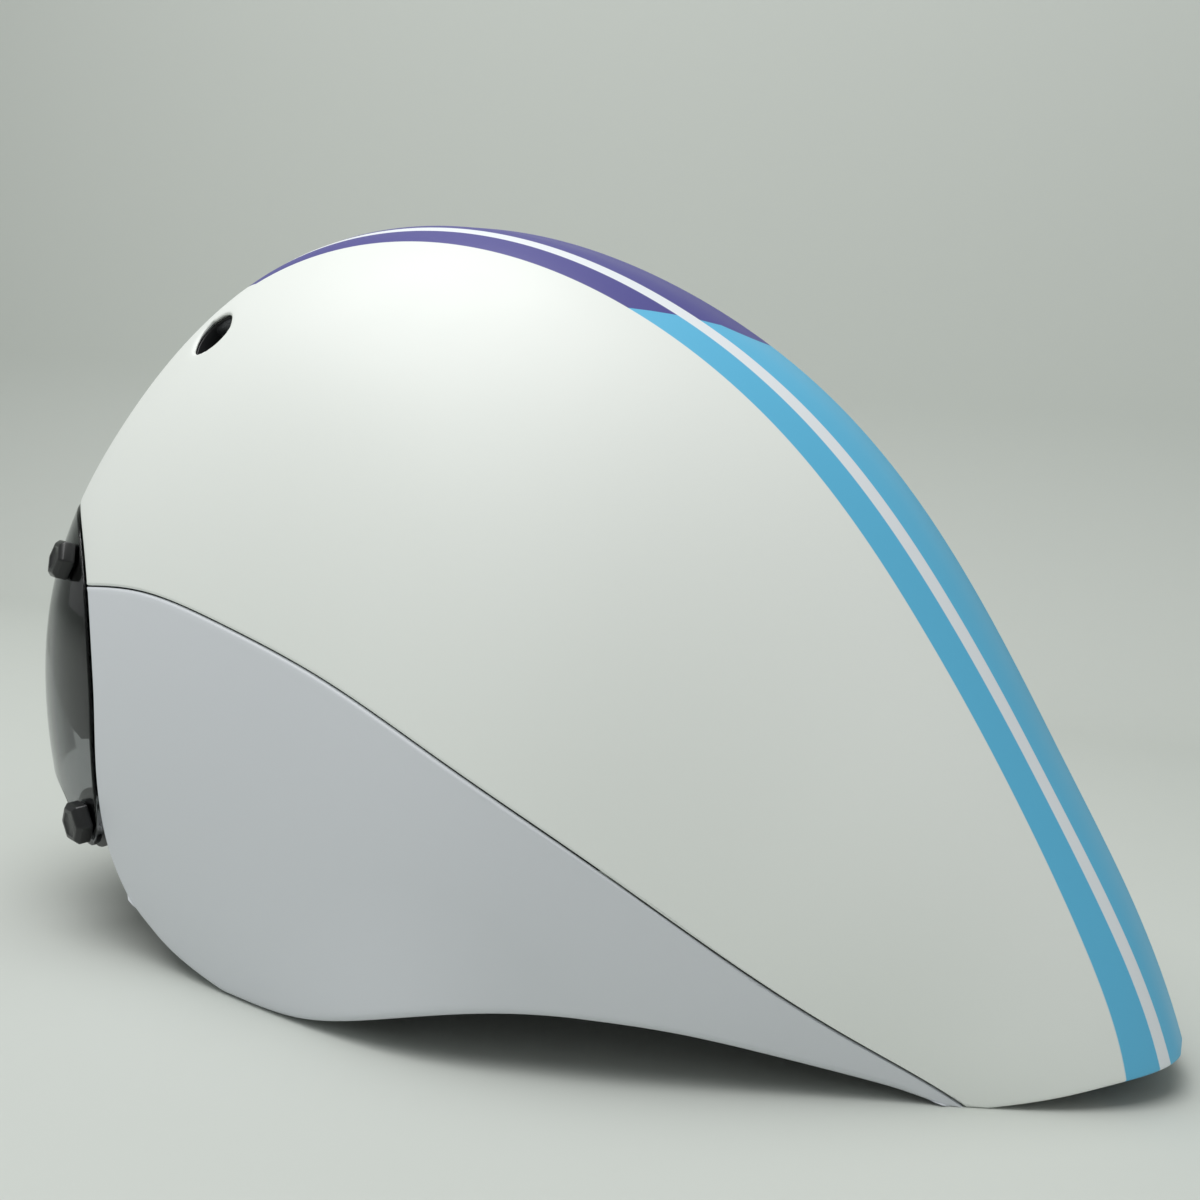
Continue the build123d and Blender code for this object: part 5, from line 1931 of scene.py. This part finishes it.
    def build(self) -> None:
        """Make every pad, its channels and its stitches."""
        made = self.cushions()
        for cushion in made.values():
            cushion.prepare()
        scene = bpy.context.scene
        for number in range(1, SWELL_FRAMES + 1):
            scene.frame_set(number)
        for cushion in made.values():
            cushion.finish()
        scene.frame_set(1)
        install(stitch_rows("pad_stitches", self.rows(made)), "helmet", "webbing")
        outline = rounded_outline(trapezoid(2, 2, 2), 0.4, 6)
        outline = np.concatenate([outline, outline[:1]])
        outline = resample(outline, np.linspace(0, 1, 60))
        rows = []
        for side in (-1, 1):
            y = side * self.cradle_y + outline[:, 0] * (self.cradle_half[0] - self.inset)
            z = self.cradle_z + outline[:, 1] * (self.cradle_half[1] - self.inset)
            turns = np.arcsin(y / self.cradle_radius)
            ways = points_at(np.cos(turns), np.sin(turns), 0)
            rows.append(made["cradle"].row(points_at(self.cradle_x, 0, z), ways))
        install(stitch_rows("nape_stitches", rows), "cradle", "webbing")


@dataclass
class ChinStrap:
    """The webbing, its anchors, dividers, levers, keeper and buckle."""

    x: float = -29.0
    width: float = 15.0
    wall: float = 1.2
    side: float = 78.0
    top_z: float = 59.1
    anchor_x: tuple = (-69.0, 17.0)
    fold_length: float = 15.0
    bar_tack: tuple = (4.0, 13.0)
    tack_inset: float = 2.0
    tack_lifts: tuple = (1.45, -0.58)
    leg_weave: float = 100.0
    fold_weave: float = 40.0
    tail_weave: float = 500.0
    divider_z: float = 30.0
    divider_reach: float = 9.0
    divider_drop: float = 6.0
    leg_bow: float = 0.5
    bend: float = 7.0
    floor_z: float = 3.1
    socket_back: float = -22.0
    plug_back: float = 14.3
    tail_end: float = 49.0
    tail_curl: tuple = (36.0, 13.0, 1.1)
    seam_back: tuple = (24.5, 27.5)
    seam_inset: float = 1.5
    stitch: tuple = (2.6, 2.0, 0.4)
    keeper_length: float = 5.0
    keeper_wall: float = 1.4
    keeper_edge: float = 0.35
    keeper_corner: float = 0.9
    keeper_inner: tuple = (15.2, 2.0)
    lever_y: float = 72.3
    lever_z: float = 27.6
    buckle_top: float = 7.3
    rivet_stand: float = 2.2
    rivet: tuple = (5.5, 5.0, 1.4)
    lever_pitch: float = 2.0
    lever_rib: tuple = (10.0, 1.0, 0.7)
    divider_stand: float = 3.2
    divider_pitch: float = 2.6
    divider_rib: tuple = (15.0, 1.1, 0.6)
    plug_rib_y: float = 3.4
    socket_rib_y: float = -17.5
    buckle_pitch: float = 2.1
    buckle_rib: tuple = (13.0, 1.1, 0.7)

    def leg(self, anchor_x: float) -> tuple[Points, Points]:
        """Return the middle line of a left leg and the direction across it."""
        top = np.array([anchor_x, -self.side, self.top_z])
        low = np.array([self.x, -self.side, self.divider_z])
        run = unit(low - top)
        low = low - run * self.divider_reach
        line = top + (low - top) * np.linspace(0, 1, 40)[:, None]
        line[:, 1] += self.leg_bow * np.sin(np.linspace(0, math.pi, len(line)))
        return line, np.broadcast_to(np.cross(run, (0, 1, 0)), line.shape)

    def floor_run(self, end: float) -> Points:
        """Return the left webbing's middle line from the divider to the buckle."""
        flat = rounded_run([(-self.side, self.divider_z - self.divider_drop),
                            (self.bend - self.side, self.floor_z), (end, self.floor_z)], self.bend)
        return points_at(self.x, flat[:, 0], flat[:, 1])

    def trimmed(self, line: Points, across: Points) -> Sheet:
        """Return a leg's webbing, cut level under its anchor."""
        form = ribbon(line, across, self.width, self.wall)
        form.points[:, 2] = np.minimum(form.points[:, 2], self.top_z)
        return form

    def webbing(self, end: float) -> tuple[Sheet, list[Points]]:
        """Return the left webbing up to a buckle's end, and its rows of stitches."""
        whole, rows, used = None, [], 0.0
        for anchor_x in self.anchor_x:
            line, across = self.leg(anchor_x)
            leg = self.trimmed(line, across)
            leg.lie = leg.lie + (used, 0)
            used += self.leg_weave
            run, cross = unit(line[-1] - line[0]), across[0]
            fold = line[run_lengths(line) < self.fold_length] + (0, self.wall * 0.9, 0)
            layer = self.trimmed(fold, across[:len(fold)])
            layer.lie = layer.lie + (used, 0)
            used += self.fold_weave
            whole = leg.joined(layer) if whole is None else whole.joined(leg).joined(layer)
            half = self.width / 2 - self.tack_inset
            near, far = self.bar_tack
            corners = [(near, -half), (near, half), (far, half), (far, -half), (near, -half),
                       (far, half), (far, -half), (near, half)]
            for lift in self.tack_lifts:
                square = [line[0] + run * a + cross * b + (0, self.wall * lift, 0)
                          for a, b in corners]
                rows += [np.linspace(a, b, 6) for a, b in zip(square, square[1:])]
        path = self.floor_run(end)
        across = np.broadcast_to(BACK, path.shape)
        run = ribbon(path, across, self.width, self.wall, used)
        return whole.joined(run), rows

    def hoop(self, loop: Points, wall: float, length: float, y: float) -> Sheet:
        """Return a rounded band round a loop of places along X and Z."""
        after, before = np.roll(loop, -1, 0), np.roll(loop, 1, 0)
        run = unit(after - before)
        out = points_at(run[:, 1], -run[:, 0])
        section = rounded_outline([(0, 0), (wall, 0), (wall, length), (0, length)],
                                  self.keeper_edge, 3)
        rings = []
        for place, way in zip(loop, out):
            flat = place + section[:, :1] * way
            rings.append(points_at(flat[:, 0], y + section[:, 1], flat[:, 1]))
        count = len(section)
        faces = grid_faces(len(rings), count, closed=True)
        last = (len(rings) - 1) * count
        faces += [(last + c, last + (c + 1) % count, (c + 1) % count, c) for c in range(count)]
        form = Sheet(np.concatenate(rings), faces)
        return form.outwards(int(np.argmax(form.points[:, 2])), UP)

    def build(self) -> None:
        """Make the webbing and its fittings."""
        left, left_rows = self.webbing(self.socket_back)
        install(left.make("left_webbing", Look.WEBBING, 50), "helmet", "webbing", "strap_left")
        right, right_rows = self.webbing(-self.plug_back)
        tail = self.floor_run(-self.plug_back)
        tail = tail[tail[:, 1] > -self.tail_end][::-1] + (0, 0, self.wall * 0.95)
        start, length, rise = self.tail_curl
        tail[:, 2] += rise * np.clip((-tail[:, 1] - start) / length, 0, 1) ** 2
        layer = ribbon(tail, np.broadcast_to(BACK, tail.shape), self.width, self.wall * 0.8,
                       self.tail_weave)
        webbing = right.joined(layer).mirrored().make("right_webbing", Look.WEBBING, 50)
        install(webbing, "helmet", "webbing", "strap_right")
        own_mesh(webbing)
        rows = left_rows + [row * MIRROR for row in right_rows]
        half = self.width / 2 - self.seam_inset
        along, top = np.linspace(-half, half, 8), self.floor_z + self.wall / 2 + 0.1
        rows += [points_at(self.x + along, self.socket_back - back, top)
                 for back in self.seam_back]
        install(stitch_rows("strap_stitches", rows, *self.stitch), "helmet", "webbing")
        wide, high = self.keeper_inner
        corners = np.array(trapezoid(wide, wide, high)) + (self.x, self.floor_z + 0.5)
        loop = rounded_outline(corners, self.keeper_corner)
        keeper = self.hoop(loop, self.keeper_wall * 0.9, self.keeper_length, self.plug_back + 0.3)
        install(keeper.make("tail_keeper", Look.RUBBER), "plug", "rubber", "strap_keeper")
        self.fittings()

    def fittings(self) -> None:
        """Add the moulded ribs and the rivets."""
        rivets = np.array([(x, side * (self.side + self.rivet_stand), self.top_z)
                           for x in self.anchor_x for side in (-1, 1)])
        ribs = moulded_ribs("anchor_rivets", rivets, (0.0, 0.0, -1.0), BACK, self.rivet, Look.STEEL)
        install(ribs, "helmet", "spring_steel")
        for name, side in SIDES:
            rib_row(f"{name}_lever_ribs", f"{name}_lever",
                    (self.x, side * self.lever_y, self.lever_z - self.lever_pitch),
                    (0, 0, self.lever_pitch), 4, (0, -side, 0), self.lever_rib)
            rib_row(f"{name}_divider_ribs", "helmet",
                    (self.x, side * (self.side + self.divider_stand),
                     self.divider_z - 2 * self.divider_pitch),
                    (0, 0, self.divider_pitch), 5, (0, side, 0), self.divider_rib)
        for name, body, y in (("plug_ribs", "plug", self.plug_rib_y),
                              ("socket_ribs", "helmet", self.socket_rib_y)):
            rib_row(name, body, (self.x, y, self.buckle_top), (0, self.buckle_pitch, 0), 4, UP,
                    self.buckle_rib)
        for node in ("strap_anchors", "strap_divider_left", "strap_divider_right",
                     "divider_lever_left", "divider_lever_right", "buckle_socket", "buckle_plug"):
            dress(node, Look.BLACK)


@dataclass
class HeadRing:
    """The dial, its cradle, belts and rail."""

    ring_x: float = -33.0
    ring_z: float = 60.0
    cover_radius: float = 77.0
    dial_x: float = 44.3
    dial_radius: float = 16.0
    dial_height: float = 9.5
    flutes: int = 12
    cap_radius: float = 9.5
    cap_profile: tuple = ((1.0, -0.3), (1.0, 0.25), (0.97, 0.55), (0.9, 0.7), (0.72, 0.72),
                          (0.68, 0.35), (0.62, 0.3), (0.4, 0.5), (0.16, 0.62), (0.03, 0.64))
    grip_rib: tuple = (5.6, 0.9, 0.7)
    grip_share: float = 0.17
    grip_height_share: float = 0.45
    cradle_rib_y: tuple = (17.5, 19.6, 21.7)
    cradle_rib: tuple = (13.0, 1.0, 0.7)
    rail_x: float = 40.5
    rail_rib_z: float = 98.0
    rail_pitch: float = 2.6
    rail_rib: tuple = (8.0, 1.1, 0.8)

    def dial_cap(self) -> Sheet:
        """Return the domed cap on the dial's outer face."""
        rings, turns = [], circle(64)
        for share, height in self.cap_profile:
            radius = self.cap_radius * share
            rings.append(points_at(self.dial_x + self.dial_height + height,
                                   radius * np.cos(turns), self.ring_z + radius * np.sin(turns)))
        return stack(rings).outwards(-1, BACK)

    def build(self) -> None:
        """Dress the ring's parts and add their ribs."""
        for node in ("cradle_frame", "cradle_cover", "height_rail"):
            dress(node, Look.BLACK)
        for node in ("dial_knob", "pinion_gear"):
            dress(node, Look.GREY)
        for node in ("belt_left", "belt_right"):
            dress(node, Look.BELT)
        dress("click_spring", Look.STEEL)
        install(self.dial_cap().make("dial_cap", Look.BLACK, 30), "dial", "black_plastic")
        tooth = 2 * math.pi / self.flutes
        turns = np.array([(k + 0.5) * tooth + m * tooth * self.grip_share
                          for k in range(self.flutes) for m in (-1, 0, 1)])
        ways = points_at(0, np.cos(turns), np.sin(turns))
        middle = self.dial_x + self.dial_height * self.grip_height_share
        places = ways * self.dial_radius + (middle, 0, self.ring_z)
        ribs = moulded_ribs("dial_grip_ribs", places, ways, BACK, self.grip_rib, Look.GREY)
        install(ribs, "dial", "grey_plastic")
        across = [side * y for side in (-1, 1) for y in self.cradle_rib_y]
        turns = np.arcsin(np.array(across) / self.cover_radius)
        ways = points_at(np.cos(turns), np.sin(turns), 0)
        places = ways * self.cover_radius + (self.ring_x, 0, self.ring_z)
        ribs = moulded_ribs("cradle_ribs", places, ways, UP, self.cradle_rib, Look.BLACK)
        install(ribs, "cradle", "black_plastic")
        rib_row("rail_ribs", "helmet", (self.rail_x, 0, self.rail_rib_z), (0, 0, self.rail_pitch),
                3, (-1.0, 0.0, 0.0), self.rail_rib, (0.0, 1.0, 0.0))


@dataclass
class Studio:
    """A pale floor that sweeps up into a backdrop, soft light and the camera.

    Distances are in metres, and the camera's sensor and lens in millimetres.
    """

    floor_colour: str = "#C9CDC8"
    wall_distance: float = 0.62
    sweep: float = 0.25
    half_width: float = 4.0
    front: float = -3.0
    wall_height: float = 3.0
    world_colour: str = "#EEF2F0"
    world_light: float = 0.42
    lamp_place: tuple = (-0.35, -0.35, 1.6)
    lamp_aim: tuple = (0, 0, 0.1)
    lamp_size: float = 1.4
    lamp_power: float = 23
    sensor: float = 36.0
    lens: float = 40.83
    viewpoint: tuple = (0.1499, -0.4087, 0.1537)
    right: tuple = (0.9402, 0.3312, 0.0792)
    up: tuple = (-0.103, 0.0549, 0.9932)
    ahead: tuple = (-0.3246, 0.942, -0.0857)

    def backdrop(self) -> None:
        """Make the floor and its sweep."""
        turns = np.linspace(0, math.pi / 2, 24)
        profile = [(self.front, 0.0), (self.wall_distance, 0.0)]
        profile += [(self.wall_distance + self.sweep * math.sin(turn),
                     self.sweep * (1 - math.cos(turn))) for turn in turns[1:]]
        profile.append((self.wall_distance + self.sweep, self.wall_height))
        points = np.array([[(x, y, z) for x in (-self.half_width, self.half_width)]
                           for y, z in profile]) / METRE
        floor = Sheet(points.reshape(-1, 3), grid_faces(len(profile), 2)).outwards(0, UP)
        finish = Finish("pale backdrop paper", self.floor_colour, 0.9)
        floor.make("backdrop", finish)

    def light(self) -> None:
        """Add the soft square lamp overhead."""
        data = bpy.data.lights.new("overhead softbox", "AREA")
        data.shape, data.size, data.energy = "SQUARE", self.lamp_size, self.lamp_power
        lamp = placed("overhead softbox", data)
        lamp.location = self.lamp_place
        way = Vector(self.lamp_aim) - Vector(self.lamp_place)
        lamp.rotation_euler = way.to_track_quat("-Z", "Y").to_euler()

    def world(self) -> None:
        """Set the even light from all round."""
        world = bpy.data.worlds.new("even light")
        world.use_nodes = True
        tree = world.node_tree
        tree.nodes.clear()
        sky = add_node(tree, "ShaderNodeBackground", {
            "Color": linear(self.world_colour), "Strength": self.world_light})
        add_node(tree, "ShaderNodeOutputWorld", {"Surface": sky.outputs[0]})
        bpy.context.scene.world = world

    def camera(self) -> None:
        """Place the camera at the photograph's viewpoint."""
        data = bpy.data.cameras.new("viewpoint")
        data.sensor_width, data.lens = self.sensor, self.lens
        data.clip_start, data.clip_end = 0.01, 20.0
        camera = placed("viewpoint", data)
        turn = Matrix([self.right, self.up, [-a for a in self.ahead]]).transposed()
        camera.matrix_world = (Matrix.Translation(self.viewpoint)
                               @ turn.to_4x4().to_quaternion().to_matrix().to_4x4())
        bpy.context.scene.camera = camera

    def build(self) -> None:
        """Set up the whole studio."""
        self.backdrop()
        self.world()
        self.light()
        self.camera()
        bpy.context.scene.view_settings.view_transform = "Standard"


def main() -> None:
    """Build the helmet and the studio, and report each piece."""
    logging.basicConfig(level=logging.INFO, format="%(message)s")
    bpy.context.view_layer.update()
    Studio().build()
    UpperShell().build()
    SidePanels().build()
    FaceShield().build()
    FoamLiner().build()
    Padding().build()
    ChinStrap().build()
    HeadRing().build()


if __name__ == "__main__":
    main()
